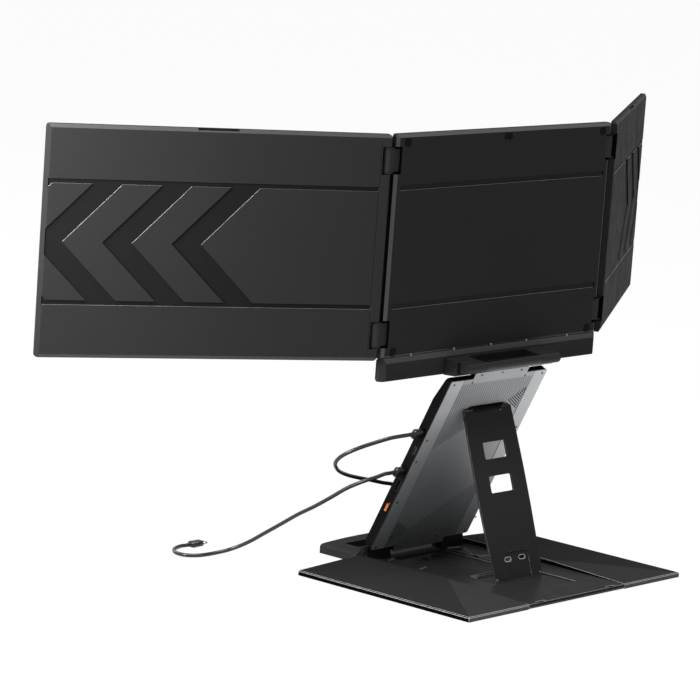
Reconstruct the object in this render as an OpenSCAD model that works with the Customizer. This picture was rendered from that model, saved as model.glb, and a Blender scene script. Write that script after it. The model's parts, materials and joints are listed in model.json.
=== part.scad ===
// Three-panel laptop screen extender on a folding stand with a docking hub.
// +Z is up, the user sits on the -Y side, and the origin is the middle of the foot pad's underside.

/* [Screens] */
// Width of each screen housing
screen_w = 320; // [300:1:340]
// Height of each screen housing
screen_h = 208; // [202:1:216]
// Thickness of each back tray, from its rear face to the bezel ring
tray_t = 5.3; // [5:0.1:7]
// Thickness of the bezel ring on the user's side
bezel_t = 1.2; // [0.8:0.1:2]
// Width of the bezel beside the picture
bezel_side = 9.2; // [9:0.1:12]
// Width of the bezel above the picture
bezel_top = 7; // [6:0.5:9]
// Width of the bezel below the picture
bezel_bottom = 12.5; // [8:0.5:16]
// Radius of the housing corners
screen_corner_r = 3; // [2:0.5:5]
// Depth of the grooves and of the recess round the raised panels
recess_depth = 1.2; // [0.8:0.1:1.5]
// Height of the raised panels on the wings
raised_h = 104; // [80:1:112]
// Distance from the inner edge of a wing to the tip of its main raised panel
raised_tip = 173.6; // [150:1:190]
// Distance from one chevron to the next
chevron_pitch = 63.8; // [50:1:70]
// Width of a chevron band
chevron_band = 36.3; // [20:1:44]
// Length of the pull notch in the top edge of a wing
pull_notch_l = 38; // [20:1:60]
// Resting fold of the left wing, from flat
left_fold = 29.7; // [0:0.1:60]
// Resting fold of the right wing, from flat
right_fold = 31.6; // [0:0.1:60]

/* [Screen hinges] */
// Radius of the hinge knuckles
knuckle_r = 6; // [5:0.1:6.5]
// Height of each screen hinge
knuckle_h = 24; // [20:0.5:30]
// Radius of the hinge pins
screen_pin_r = 2; // [1:0.1:3]
// Distance from the top of the screen to the middle of its upper hinges
upper_hinge_drop = 24.2; // [20:0.1:30]
// Distance from the bottom of the screen to the middle of its lower hinges
lower_hinge_rise = 23.7; // [20:0.1:30]
// Gap between two screens that lie flat beside each other
flat_gap = 3.5; // [3:0.1:6]

/* [Tilt barrel] */
// Radius of the barrel that the centre screen tilts on
barrel_r = 5.15; // [4.5:0.05:5.5]
// Length of the hub's middle part of the barrel
barrel_mid_l = 82.6; // [60:0.1:100]
// Length of the whole barrel
barrel_l = 138.8; // [120:0.1:142]
// Width of the plate that carries the centre screen
arm_w = 145; // [142:1:160]
// Distance from the barrel axis forward to the rear face of the screens
screen_setback = 24.5; // [24:0.1:30]
// Radius of the shaft in the barrel
tilt_shaft_r = 2; // [1.5:0.1:2.5]
// Height of the lower edge of the screens above the barrel axis
screen_rise = 11.6; // [10:0.1:16]
// Depth of the chin below the barrel axis
chin_drop = 8.5; // [6:0.1:9]
// Width of the chin
chin_w = 320; // [200:1:320]

/* [Hub] */
// Width of the docking hub
hub_w = 144; // [142:1:160]
// Height of the hub cover
hub_h = 196; // [194:1:200]
// Thickness of the docking hub at its ports
hub_t = 11; // [10:0.1:11.5]
// Thickness of the docking hub at its top edge
hub_top_t = 7; // [6:0.1:7.5]
// Thickness of the hub's metal cover
cover_t = 1.2; // [1:0.1:1.5]
// Wall of the hub's housing
hub_wall = 1.8; // [1.5:0.1:2.2]
// Lean of the hub at rest, from upright
hub_lean = 25; // [10:0.5:35]
// Width of the tab on top of the cover
tab_w = 80.6; // [60:0.1:82]
// Height of that tab
tab_h = 6.5; // [4:0.1:8]
// Width of the lip at the foot of the cover
cover_lip_w = 74; // [60:1:75]
// Depth of that lip
cover_lip_h = 6; // [3:0.1:6.5]
// Width of a vent slot
vent_slot_w = 1; // [0.8:0.1:1.2]
// Distance from one vent slot to the next
vent_pitch = 2.46; // [2.3:0.01:2.6]

/* [Ports] */
// Distance up the hub's side to the middle of the upper USB-C socket
upper_port_s = 134.5; // [130:0.5:150]
// Distance up the hub's side to the middle of the free USB-C socket
free_port_s = 113.7; // [110:0.5:118]
// Distance up the hub's side to the middle of the lower USB-C socket
lower_port_s = 90.5; // [88:0.5:96]
// Distance up the hub's side to the middle of the large socket
large_port_s = 74; // [72:0.5:78]
// Distance up the hub's side to the middle of the power switch
switch_s = 47.2; // [40:0.5:56]
// Length of the power switch's opening
switch_slot_l = 11.5; // [11:0.5:16]
// Travel of the power switch each way
switch_travel = 1.5; // [1:0.1:2]

/* [Kickstand] */
// Distance from the kickstand's pivot to its foot
kick_l = 165; // [150:1:165]
// Width of the kickstand
kick_w = 70; // [60:1:74]
// Thickness of the kickstand's sheet
kick_t = 1.8; // [1.2:0.1:2]
// Height of the kickstand's pivot above the foot of the hub cover
kick_pivot_s = 160.1; // [156:0.1:166]
// Angle between the kickstand and the hub cover
kick_angle = 44.45; // [30:0.05:60]
// Width of the kickstand's windows
window_w = 33; // [20:1:40]
// Height of the kickstand's windows
window_h = 16; // [8:0.5:20]
// Width of the slot under the kickstand's hinge bar
hinge_slot_w = 43; // [30:1:48]

/* [Base] */
// Width of the base
base_w = 320; // [300:1:340]
// Depth of the base
base_d = 208; // [200:1:220]
// Height of the outer edge of the base
edge_h = 5.4; // [5:0.1:7]
// Height of the base's wings beside the deck
crest_h = 9.4; // [8:0.1:11]
// Height of the deck between them
deck_h = 5.4; // [5.2:0.1:6]
// Width of the deck
deck_w = 146; // [142:1:160]
// Width of the kickstand's channel in the deck
channel_w = 76; // [72:1:84]
// Wall of the base covers
base_wall = 1.6; // [1.2:0.1:2]
// Thickness of the base's floor sheet
floor_t = 1.5; // [1:0.1:2]
// Height of the rubber pads under the base
pad_h = 0.5; // [0.5:0.1:1.2]
// Width of the middle pad
pad_w = 120; // [80:1:140]
// Width of the side pads
side_pad_w = 20; // [10:1:30]
// Distance from the ends of the pads to the front and rear of the base
pad_margin = 14; // [8:1:40]
// Length of the tongue in front of the base
tongue_l = 51; // [40:1:60]
// Height of the tongue
tongue_h = 9.8; // [8:0.1:10.5]
// Bow of the tongue's front edge
tongue_bow = 6; // [2:0.5:10]
// Height of the hub's hinge axis
hinge_z = 13.8; // [13.5:0.1:16]
// Distance from the front edge of the base back to the hub's hinge axis
hinge_inset = 3.5; // [2:0.1:6]
// Radius of the knuckles of the hub's hinge
hub_knuckle_r = 4.2; // [3.6:0.1:4.5]
// Depth of the sunk well in the tongue
well_floor_h = 2.4; // [2.4:0.1:3]
// Radius of the pin of the hub's hinge
hub_pin_r = 1.6; // [1.2:0.1:2]

/* [Cables] */
// Diameter of the cables
cable_d = 3.8; // [3:0.1:3.9]
// Number of turns that lie on each other in the coil
coil_turns = 4; // [2:1:6]
// Distance across the coil, from mid-turn to mid-turn
coil_d = 44; // [40:1:60]

/* [Fits] */
// Gap round a pin that turns
pin_fit = 0.05; // [0.02:0.01:0.1]
// Gap between fixed pieces
seat_gap = 0.1; // [0.05:0.05:0.2]
// Gap between moving pieces
run_gap = 0.3; // [0.25:0.05:0.5]

/* [Hidden] */
$fn = 48;
eps = 0.01;

// Screen layout
screen_t = tray_t + bezel_t;
picture_h = screen_h - bezel_top - bezel_bottom;
picture_w = screen_w - 2 * bezel_side;
display_rim = 2.2;
display_t = 2.4;
edge_chamfer_w = 3.5;
edge_chamfer_d = 2;
// The shaft ends inside the barrel's closed ends
tilt_shaft_l = barrel_l - 3;
pull_notch_x = screen_w / 2 + 3.6;
hook_x = 10.6;
hook_y = -base_d / 2 + 26;
chin_screw_x = [-114.5, -51.4, 2.2, 56.6, 119];
hinge_x = screen_w / 2 + knuckle_r - 1;
wing_inset = screen_w / 2 + flat_gap - hinge_x;
left_hinge_y = -screen_t - 0.1;
right_hinge_y = -1.5 * screen_t - 0.45;
hinge_zs = [lower_hinge_rise, screen_h - upper_hinge_drop];
cutout_h = knuckle_h + 1.2;
cutout_depth = knuckle_r + 1.5;
knuckle_gap = 0.9;
wing_cutout = knuckle_r - wing_inset + knuckle_gap;
bezel_notch = knuckle_r + knuckle_gap - (hinge_x - screen_w / 2);
finger_h = 1.2;
leaf_y = -2.4;
leaf_t = 2.8;
strip_w = 9.6;
recess_end = screen_w - 3;
recess_margin = 4;
recess_mid_z = screen_h / 2 - 0.3;

// Tilt barrel
window_y = -19.3;
arm_front_y = -screen_setback + 2.4;
arm_top = 7.3;
arm_bottom = -9;
ledge_top = screen_rise + 1.7;
ledge_bottom = ledge_top - 4.8;
chin_wall = 2;

// Hub frame: origin on the hinge axis, y rearward through the hub, z up along it
hinge_setback = base_d / 2 - hinge_inset;
cover_y = 7.5;
cover_z = 6;
hub_front_y = cover_y - hub_t;
hub_top_z = cover_z + hub_h;
wedge_z = hub_top_z - 26;
wedge_y = cover_y - hub_top_t;
housing_rear_y = cover_y - cover_t;
barrel_y = 12;
barrel_z = hub_top_z + 17.6;
port_y = 2.5;
socket_depth = 7;
socket_half_t = 1.95;
board_t = 1.6;
board_front = port_y - socket_half_t - board_t;
board_w = hub_w - 12;
board_h = 144;
board_z = 14;
post_x = hub_w / 2 - 12;
post_r = 3;
post_zs = [20, 150];
hinge_bar_r = 1.2;
kick_pivot_y = cover_y + hinge_bar_r + run_gap;
kick_pivot_z = cover_z + kick_pivot_s;
clip_r = hinge_bar_r + 1.1;

// Base
floor_z = pad_h;
deck_z = pad_h + floor_t;
crest_y = 5;
foot_clear = 4.3;
bracket_in = 38;
bracket_w = deck_w / 2 - 1 - bracket_in;
cap_r = 3.15;
cap_t = 1.5;
well_w = 102;
well_front = 12;
well_t = 1;
bracket_seat = well_floor_h + well_t;
deck_front = -base_d / 2 + 11.6;

// Where a cable leaves the boot of its hub plug, dx further out
plug_tip_l = 5.4;
plug_l = 13;
plug_h = 6.4;
boot_l = 8.8;
boot_end = hub_w / 2 + 2 * seat_gap + plug_l + boot_l + 0.3;
function port_place(s, dx) = [
    boot_end + dx,
    port_y * cos(hub_lean) + (cover_z + s) * sin(hub_lean) - hinge_setback,
    hinge_z + (cover_z + s) * cos(hub_lean) - port_y * sin(hub_lean)];

// Route of the cable to the laptop, from its hub plug to the plug that lies beside the stand
LAPTOP_ROUTE = [
    port_place(lower_port_s, 0), port_place(lower_port_s, 3), port_place(lower_port_s, 6),
    [108, -62.5, 96.5], [115, -70, 92.5], [122, -84, 84], [128, -98, 73], [133, -113, 62],
    [138, -129, 51.5], [141, -146, 39.5], [144.5, -163, 27.5], [148, -181, 15], [156, -195, 6.5], [170, -202, 3],
    [188, -205, 2.4], [199, -213, 2.3], [200, -225, 2.4], [192, -235, 2.7], [181, -238.5, 3.3], [174, -238.5, 3.3]
];
// Route of the second cable, from its hub plug to the coil that lies in front of the hub
SPARE_ROUTE = [
    port_place(upper_port_s, 0), port_place(upper_port_s, 3), port_place(upper_port_s, 6),
    [114, -42, 138.8], [127, -47, 135.5], [139, -54, 131], [147.5, -63, 125], [149.5, -72, 118.5], [144, -82, 110],
    [128, -91, 100], [108, -97, 92.5], [88, -100, 87], [71, -100, 83], [55, -98, 79], [38, -97, 75],
    [18, -103, 64], [0, -115, 50], [-20, -131, 36], [-38, -150, 22], [-50, -163, 12], [-62, -169, 5.2],
    [-73, -170, 2.6], [-84, -169, 2.3], [-93, -168, 2.3]
];
coil_centre = [-104, -192, 0];
// Route from the coil to the second cable's other plug
SPARE_END_ROUTE = [
    [-121.6, -170.9, 4], [-130, -172, 2.5], [-139, -171.4, 2.6], [-147, -170.5, 3.3], [-153, -170.5, 3.3]
];
function last_of(route) = route[len(route) - 1];

// ---------- shared shapes ----------

module rounded_rect(w, h, r) {
    union() {
        translate([r, 0]) square([w - 2 * r, h]);
        translate([0, r]) square([w, h - 2 * r]);
        for (x = [r, w - r], y = [r, h - r]) translate([x, y]) circle(r);
    }
}

// Draws a flat outline of x and z and gives it depth t forward from y = 0
module upright(t) {
    rotate([90, 0, 0]) linear_extrude(t) children();
}

// Draws a side outline of y and z and gives it width w, centred on x = 0
module sideways(w) {
    translate([-w / 2, 0, 0]) rotate([90, 0, 90]) linear_extrude(w) children();
}

// A slot outline with round ends, centred, l long and w wide along x
module slot_outline(l, w) {
    square([l - w, w], center = true);
    for (x = [-1, 1]) translate([x * (l - w) / 2, 0]) circle(w / 2);
}

function unit(v) = v / norm(v);
function spline_point(a, b, c, d, t) =
    0.5 * (2 * b + (c - a) * t + (2 * a - 5 * b + 4 * c - d) * t * t + (3 * b - a - 3 * c + d) * t * t * t);
function spline(p, n) = let (m = len(p) - 1) concat(
    [for (i = [0 : m - 1], k = [0 : n - 1])
        spline_point(p[max(i - 1, 0)], p[i], p[i + 1], p[min(i + 2, m)], k / n)],
    [p[m]]);
function heading(p, i) = unit(p[min(i + 1, len(p) - 1)] - p[max(i - 1, 0)]);
function carried(p, i, side) = i >= len(p) ? [] :
    let (t = heading(p, i), s = unit(side - (side * t) * t)) concat([s], carried(p, i + 1, s));

// A round cable along a route, with a ring at every spline point
module cable(route, per_span) {
    sides = 8;
    path = spline(route, per_span);
    rings = len(path);
    side = carried(path, 0, [0, 0.1, 1]);
    points = [for (i = [0 : rings - 1], k = [0 : sides - 1])
        let (a = 360 * (k + 0.5) / sides, t = heading(path, i))
        path[i] + cable_d / 2 * (cos(a) * side[i] + sin(a) * cross(t, side[i]))];
    faces = concat(
        [[for (k = [0 : sides - 1]) k]],
        [for (i = [0 : rings - 2], k = [0 : sides - 1])
            let (a = i * sides + k, b = i * sides + (k + 1) % sides) [a, a + sides, b]],
        [for (i = [0 : rings - 2], k = [0 : sides - 1])
            let (a = i * sides + k, b = i * sides + (k + 1) % sides) [b, a + sides, b + sides]],
        [[for (k = [sides - 1 : -1 : 0]) (rings - 1) * sides + k]]);
    polyhedron(points, faces);
}

// ---------- frames ----------

module in_hub() {
    translate([0, -hinge_setback, hinge_z]) rotate([-hub_lean, 0, 0]) children();
}

// Origin on the barrel axis, upright, so that the screens' rear face is at y = -screen_setback
module in_screen() {
    in_hub() translate([0, barrel_y, barrel_z]) rotate([hub_lean, 0, 0]) children();
}

// Origin at the lower inner corner of the left wing's rear face; mirror it for the right wing
module in_wing(hinge_y, fold) {
    in_screen() translate([hinge_x, hinge_y - screen_setback, screen_rise]) rotate([0, 0, -fold])
        translate([wing_inset, -hinge_y, 0]) children();
}

module in_left_wing() { in_wing(left_hinge_y, left_fold) children(); }

module in_right_wing() { mirror([1, 0, 0]) in_wing(right_hinge_y, right_fold) children(); }

module in_kickstand() {
    in_hub() translate([0, kick_pivot_y, kick_pivot_z]) rotate([kick_angle, 0, 0]) children();
}

// ---------- base ----------

module foot_pad(w) {
    d = base_d - 2 * pad_margin;
    linear_extrude(pad_h) translate([-w / 2, -d / 2]) rounded_rect(w, d, 4);
}

module side_pad() {
    edge = 12;
    translate([base_w / 2 - edge - side_pad_w / 2, 0, 0]) foot_pad(side_pad_w);
}

module foot_pad_middle() { color("#1c1c1c") foot_pad(pad_w); }

module foot_pad_left() { color("#1c1c1c") side_pad(); }

module foot_pad_right() { color("#1c1c1c") mirror([1, 0, 0]) side_pad(); }

module floor_outline(gap) {
    inset = base_wall + seat_gap - gap;
    translate([inset - base_w / 2, inset - base_d / 2]) rounded_rect(base_w - 2 * inset, base_d - 2 * inset, 2);
}

module base_floor() {
    color("#303030") translate([0, 0, floor_z]) linear_extrude(floor_t) floor_outline(0);
}

channel_rear = base_d / 2 - 35;

module channel(depth) {
    translate([-channel_w / 2, deck_front - 1, -depth])
        cube([channel_w, channel_rear - deck_front + 1, 2 * depth]);
}

// Two shallow facets beside the channel, each with a long slanted edge
module deck_facets(depth) {
    half = channel_w / 2;
    tooth = 17;
    for (y = [-84, -44]) translate([0, 0, -depth]) linear_extrude(2 * depth)
        polygon([[half - 1, y - 5], [half + tooth, y], [half + 1, y + 1.7 * tooth], [half - 1, y + 1.8 * tooth]]);
}

module base_deck() {
    top = deck_h - deck_z;
    half = deck_w / 2 - seat_gap - 0.05;
    rear = base_d / 2;
    wall_slope = 3.5;
    groove = 0.9;
    color("#3a3a3a") translate([0, 0, deck_z]) difference() {
        translate([-half, deck_front, 0]) cube([2 * half, rear - deck_front, top]);
        translate([0, 0, top]) channel(2 * top);
        // sloping right and left walls of the channel
        for (side = [0, 1]) mirror([side, 0, 0]) translate([0, channel_rear, 0]) rotate([90, 0, 0])
            linear_extrude(channel_rear - deck_front + 1)
                polygon([[0, 0.8], [channel_w / 2, 0.8], [channel_w / 2 + wall_slope, top + 1], [0, top + 1]]);
        for (side = [0, 1]) mirror([side, 0, 0]) translate([0, 0, top]) deck_facets(0.9);
        // groove along the right-hand wing
        translate([-half - 1, deck_front - 1, top - groove]) cube([1 + groove, rear - deck_front + 2, 2 * groove]);
        // notches in the rear edge
        for (x = [-53, 53]) translate([x - 6, rear - 2, top - 2]) rotate([45, 0, 0]) cube([12, 4, 4]);
    }
}

module wing_form(inset, lift) {
    inner = deck_w / 2 + seat_gap + inset;
    outer = base_w / 2 - inset;
    depth = base_d - 2 * inset;
    slope_x = (crest_h - edge_h) / (base_w / 2 - deck_w / 2);
    outer_top = edge_h + slope_x * (base_w / 2 - outer);
    slope_y = (crest_h - edge_h) / (base_d / 2 - crest_y);
    rear_top = edge_h + slope_y * (base_d / 2 - depth / 2);
    cut = lift > 0 ? 0 : 1;
    intersection() {
        rotate([90, 0, 0]) translate([0, 0, -depth / 2]) linear_extrude(depth)
            polygon([[inner, pad_h - lift], [outer, pad_h - lift], [outer, outer_top - inset - cut],
                [outer - cut, outer_top - inset], [inner, crest_h - inset]]);
        rotate([90, 0, 90]) linear_extrude(base_w)
            polygon([[-depth / 2, pad_h - lift], [depth / 2, pad_h - lift], [depth / 2, rear_top - inset - cut],
                [depth / 2 - cut, rear_top - inset], [crest_y, crest_h - inset], [cut - depth / 2, crest_h - inset],
                [-depth / 2, crest_h - inset - cut]]);
    }
}

module base_wing() {
    difference() {
        wing_form(0, 0);
        wing_form(base_wall, 3);
        translate([0, 0, pad_h - 1]) linear_extrude(floor_t + 1 + seat_gap) floor_outline(seat_gap);
    }
}

module base_wing_left() { color("#2e2e2e") base_wing(); }

module base_wing_right() { color("#3a3a3a") mirror([1, 0, 0]) base_wing(); }

module tongue() {
    half = deck_w / 2 - seat_gap;
    front = -base_d / 2 - tongue_l;
    rear = deck_front - seat_gap;
    under = deck_z + seat_gap;
    step = -base_d / 2 - seat_gap;
    shoulder = 3;
    drop = 2.2;
    bow_r = (half * half + tongue_bow * tongue_bow) / (2 * tongue_bow);
    tip = front - tongue_bow;
    color("#2b2b2b") difference() {
        intersection() {
            translate([0, rear, 0]) rotate([90, 0, 0]) linear_extrude(rear - tip)
                polygon([[-half, 0], [half, 0], [half, tongue_h - drop], [half - shoulder, tongue_h],
                    [shoulder - half, tongue_h], [-half, tongue_h - drop]]);
            sideways(2 * half) polygon([[tip, pad_h], [step, pad_h], [step, under], [rear, under],
                [rear, bracket_seat], [-hinge_setback - 8, bracket_seat], [-hinge_setback - 8, tongue_h], [tip, tongue_h]]);
            translate([0, tip + bow_r, 0]) union() {
                cylinder(tongue_h - 1, r = bow_r, $fn = 360);
                translate([0, 0, tongue_h - 1 - eps]) cylinder(1 + eps, r1 = bow_r, r2 = bow_r - 1, $fn = 360);
            }
        }
        translate([-well_w / 2, front + well_front, well_floor_h]) cube([well_w, rear - front, tongue_h]);
        translate([base_wall - half, front + base_wall, 0])
            cube([2 * (half - base_wall), step - front - 2 * base_wall, well_floor_h - 1]);
    }
}

module tongue_well() {
    front = -base_d / 2 - tongue_l + well_front + seat_gap;
    rear = deck_front - seat_gap;
    color("#1f1f1f") translate([0, 0, well_floor_h]) difference() {
        translate([seat_gap - well_w / 2, front, 0]) cube([well_w - 2 * seat_gap, rear - front, well_t]);
        for (y = [front + 6 : 6 : -hinge_setback - 8]) translate([-40, y, well_t / 2]) cube([80, 1.2, 1]);
    }
}

// One of the two blocks that carry the hub's hinge pin
module hub_bracket() {
    width = bracket_w;
    seat = bracket_seat;
    color("#262626") difference() {
        translate([bracket_in + width / 2, 0, 0]) sideways(width) union() {
            polygon([[-hinge_setback - hub_knuckle_r, hinge_z], [-hinge_setback - 7, seat],
                [-hinge_setback + 6.5, seat], [-hinge_setback + hub_knuckle_r, hinge_z]]);
            translate([-hinge_setback, hinge_z]) circle(hub_knuckle_r);
        }
        translate([bracket_in - 1, -hinge_setback, hinge_z]) rotate([0, 90, 0]) cylinder(width + 2, r = hub_pin_r);
        // relief for the foot of the hub, which swings above the block
        translate([bracket_in - 1, -hinge_setback, hinge_z + hub_knuckle_r - 0.4]) cube([width + 2, 20, 20]);
    }
}

module hub_bracket_left() { hub_bracket(); }

module hub_bracket_right() { mirror([1, 0, 0]) hub_bracket(); }

module hub_hinge_pin() {
    reach = bracket_in + bracket_w;
    color("#b8b8b8") translate([-reach, -hinge_setback, hinge_z]) rotate([0, 90, 0]) cylinder(2 * reach, r = hub_pin_r);
}

module hub_pin_cap() {
    color("#c8c8c8") translate([bracket_in + bracket_w, -hinge_setback, hinge_z]) rotate([0, 90, 0])
        rotate_extrude() polygon([[0, 0], [cap_r, 0], [cap_r, cap_t - 0.4], [cap_r - 0.4, cap_t], [0, cap_t]]);
}

module hub_pin_cap_left() { hub_pin_cap(); }

module hub_pin_cap_right() { mirror([1, 0, 0]) hub_pin_cap(); }

module storage_hooks() {
    color("#303030") for (x = [-hook_x, hook_x]) translate([x, hook_y, deck_z]) sideways(8)
        polygon([[-3, 0], [5, 0], [5, 1], [1.4, 1], [1.4, 1.6], [3.4, 1.6], [3.4, 2.4], [-0.6, 2.4], [-3, 1]]);
}

module foot_catch() {
    half = 27;
    color("#565656") translate([0, 0, deck_z]) difference() {
        union() {
            sideways(2 * half) polygon([[-5, 0], [5, 0], [3.4, 2.2], [-3.4, 2.2]]);
            for (x = [-half + 3, half - 3]) translate([x, 0, 0]) cylinder(2.3, r = 2.2);
        }
        translate([-half + 7, -1.4, 0.8]) cube([2 * half - 14, 2.8, 3]);
    }
}

// Raised floor of the channel's rear part, which carries the kickstand's foot
module foot_rest() {
    w = channel_w - 2 * seat_gap;
    front = 8;
    rear = channel_rear - seat_gap;
    h = foot_clear - deck_z;
    color("#2a2a2a") translate([0, 0, deck_z]) difference() {
        union() {
            translate([-w / 2, front, 0]) cube([w, rear - front, 0.7]);
            sideways(w - 2) polygon([[front, 0], [rear, 0], [rear, h], [front + 6, h], [front, h - 1.2]]);
        }
        translate([-17, 28, h - 1]) cube([36, 3.4, 2]);
    }
}

// ---------- hub ----------

module hub_profile(inset) {
    polygon([[hub_front_y + inset, cover_z + inset], [housing_rear_y, cover_z + inset],
        [housing_rear_y, hub_top_z - inset], [wedge_y + inset, hub_top_z - inset],
        [hub_front_y + inset, wedge_z]]);
}

// Through openings in the hub's left wall, centred on height s up the side
module side_opening(s, l, h) {
    translate([hub_w / 2 - 2 * hub_wall, port_y, cover_z + s]) rotate([0, 90, 0]) linear_extrude(4 * hub_wall)
        slot_outline(l, h);
}

module hub_housing() {
    socket_l = 9.4;
    socket_h = 3.9;
    large_l = 14.4;
    large_h = 5.4;
    foot_w = 2 * (bracket_in - run_gap);
    color("#242424") in_hub() difference() {
        union() {
            intersection() {
                sideways(hub_w) hub_profile(0);
                translate([-hub_w / 2, 20, cover_z]) upright(40) rounded_rect(hub_w, hub_h, 3);
            }
            // middle knuckle of the hub's hinge
            sideways(foot_w) union() {
                circle(hub_knuckle_r);
                polygon([[-hub_knuckle_r, 0], [hub_knuckle_r, 0], [housing_rear_y, cover_z + hub_wall / 2],
                    [hub_front_y, cover_z + hub_wall / 2]]);
            }
        }
        difference() {
            sideways(hub_w - 2 * hub_wall) hub_profile(hub_wall);
            for (x = [-post_x, post_x], z = post_zs) translate([x, board_front + board_t, z]) rotate([90, 0, 0])
                cylinder(10, r = post_r);
        }
        translate([-hub_w / 2 + hub_wall, housing_rear_y - 0.5, cover_z + hub_wall])
            cube([hub_w - 2 * hub_wall, 1, hub_h - 2 * hub_wall]);
        rotate([0, 90, 0]) cylinder(foot_w + 2, r = hub_pin_r + pin_fit, center = true);
        for (s = [upper_port_s, free_port_s, lower_port_s]) side_opening(s, socket_l, socket_h);
        translate([hub_w / 2 - 2 * hub_wall, port_y - large_h / 2 + 0.6, cover_z + large_port_s - large_l / 2])
            cube([4 * hub_wall, large_h - 1.2, large_l]);
        translate([hub_w / 2 - 2 * hub_wall, port_y - 1.5, cover_z + switch_s - switch_slot_l / 2])
            cube([4 * hub_wall, 3, switch_slot_l]);
        // status lamp beside the large socket
        translate([hub_w / 2 - 1, port_y - 1, cover_z + large_port_s - large_l / 2 - 4]) cube([2, 2, 2]);
    }
}

// Outline of the metal cover: plate, top tab and foot lip, with softened corners
module cover_outline() {
    translate([-hub_w / 2, cover_z]) rounded_rect(hub_w, hub_h - 0.2, 2);
    translate([-tab_w / 2, hub_top_z - 4]) rounded_rect(tab_w, tab_h + 4, 1.5);
    translate([-cover_lip_w / 2, cover_z - cover_lip_h]) rounded_rect(cover_lip_w, cover_lip_h + 4, 1.5);
}

// Slanted vent slots that fill a triangle above the origin, the longest at the origin
module vent_group() {
    count = 10;
    longest = 23;
    step = 2.15;
    slope = 31.6;
    for (i = [0 : count - 1]) let (l = longest - i * step)
        translate([-0.2 * i, i * vent_pitch]) rotate(slope) translate([l / 2, 0]) slot_outline(l, vent_slot_w);
}

module hub_cover() {
    vent_x = hub_w / 2 - 21.3;
    upper_vent_s = 152.8;
    lower_vent_s = 30.7;
    band_top = 145.7;
    band_bottom = 37.6;
    band_half = 52.7;
    band_fall = 0.568 * band_half;
    band_depth = 0.25;
    color("#8d9194") in_hub() difference() {
        translate([0, cover_y, 0]) upright(cover_t) difference() {
            cover_outline();
            translate([-vent_x, cover_z + upper_vent_s]) vent_group();
            translate([vent_x, cover_z + lower_vent_s]) rotate(180) vent_group();
            // window for the kickstand's clip
            translate([-hinge_slot_w / 2 + 0.6, kick_pivot_z - clip_r - 0.4])
                square([hinge_slot_w - 1.2, 2 * clip_r + 0.8]);
        }
        // the smooth band between the two patterned fields lies a little deeper
        translate([0, cover_y + 1, cover_z]) upright(1 + band_depth) polygon([[band_half, band_top - band_fall],
            [band_half, band_bottom - band_fall], [-band_half, band_bottom + band_fall],
            [-band_half, band_top + band_fall]]);
    }
}

module hub_circuit_board() {
    color("#1e4a2a") in_hub() difference() {
        translate([-board_w / 2, board_front + board_t, board_z]) upright(board_t) square([board_w, board_h]);
        for (x = [-post_x, post_x], z = post_zs) translate([x, board_front + board_t + 1, z]) rotate([90, 0, 0])
            cylinder(board_t + 2, r = post_r + seat_gap);
    }
}

module usb_c_socket(s) {
    outer_l = 9.2;
    outer_h = 3.7;
    color("#b0b0b0") in_hub() translate([hub_w / 2 - 0.4, port_y, cover_z + s]) rotate([0, -90, 0]) {
        difference() {
            linear_extrude(socket_depth) slot_outline(outer_l, outer_h);
            translate([0, 0, -1]) linear_extrude(socket_depth) slot_outline(outer_l - 0.8, outer_h - 0.8);
        }
        translate([-3.3, -0.3, 1.2]) cube([6.6, 0.6, socket_depth - 2]);
    }
}

module usb_c_socket_upper() { usb_c_socket(upper_port_s); }

module usb_c_socket_free() { usb_c_socket(free_port_s); }

module usb_c_socket_lower() { usb_c_socket(lower_port_s); }

module large_socket() {
    outer_l = 14;
    outer_h = 3.8;
    depth = 12;
    color("#9a9a9a") in_hub() translate([hub_w / 2 - 0.4, port_y, cover_z + large_port_s]) rotate([0, -90, 0]) {
        difference() {
            translate([-outer_l / 2, -outer_h / 2, 0]) cube([outer_l, outer_h, depth]);
            translate([0.6 - outer_l / 2, 0.5 - outer_h / 2, -1]) cube([outer_l - 1.2, outer_h - 1, depth]);
        }
        translate([-4.5, -0.4, 2]) cube([9, 0.8, depth - 2.5]);
    }
}

module hub_barrel() {
    neck_foot = 200;
    color("#101010") in_hub() difference() {
        union() {
            sideways(barrel_mid_l) translate([barrel_y, barrel_z]) circle(barrel_r);
            sideways(tab_w) polygon([[wedge_y + 1, hub_top_z + seat_gap], [housing_rear_y - seat_gap, hub_top_z + seat_gap],
                [housing_rear_y - seat_gap, hub_top_z + tab_h], [barrel_y + 3, barrel_z - 4], [barrel_y - 3.6, barrel_z - 3]]);
        }
        translate([0, barrel_y, barrel_z]) rotate([0, 90, 0]) cylinder(barrel_l, r = tilt_shaft_r, center = true);
    }
}

module tilt_shaft() {
    color("#8a8a8a") in_hub() translate([0, barrel_y, barrel_z]) rotate([0, 90, 0])
        cylinder(tilt_shaft_l, r = tilt_shaft_r, center = true);
}

// The clip that rings the kickstand's hinge bar and reaches through the cover's window
module kickstand_clip() {
    clip_w = hinge_slot_w - 3;
    seat_y = hub_front_y + hub_wall;
    color("#303030") in_hub() difference() {
        sideways(clip_w) union() {
            translate([kick_pivot_y, kick_pivot_z]) circle(clip_r);
            translate([seat_y, kick_pivot_z - clip_r]) square([kick_pivot_y - seat_y, 2 * clip_r]);
        }
        translate([0, kick_pivot_y, kick_pivot_z]) rotate([0, 90, 0])
            cylinder(clip_w + 2, r = hinge_bar_r + pin_fit, center = true);
    }
}

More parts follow.
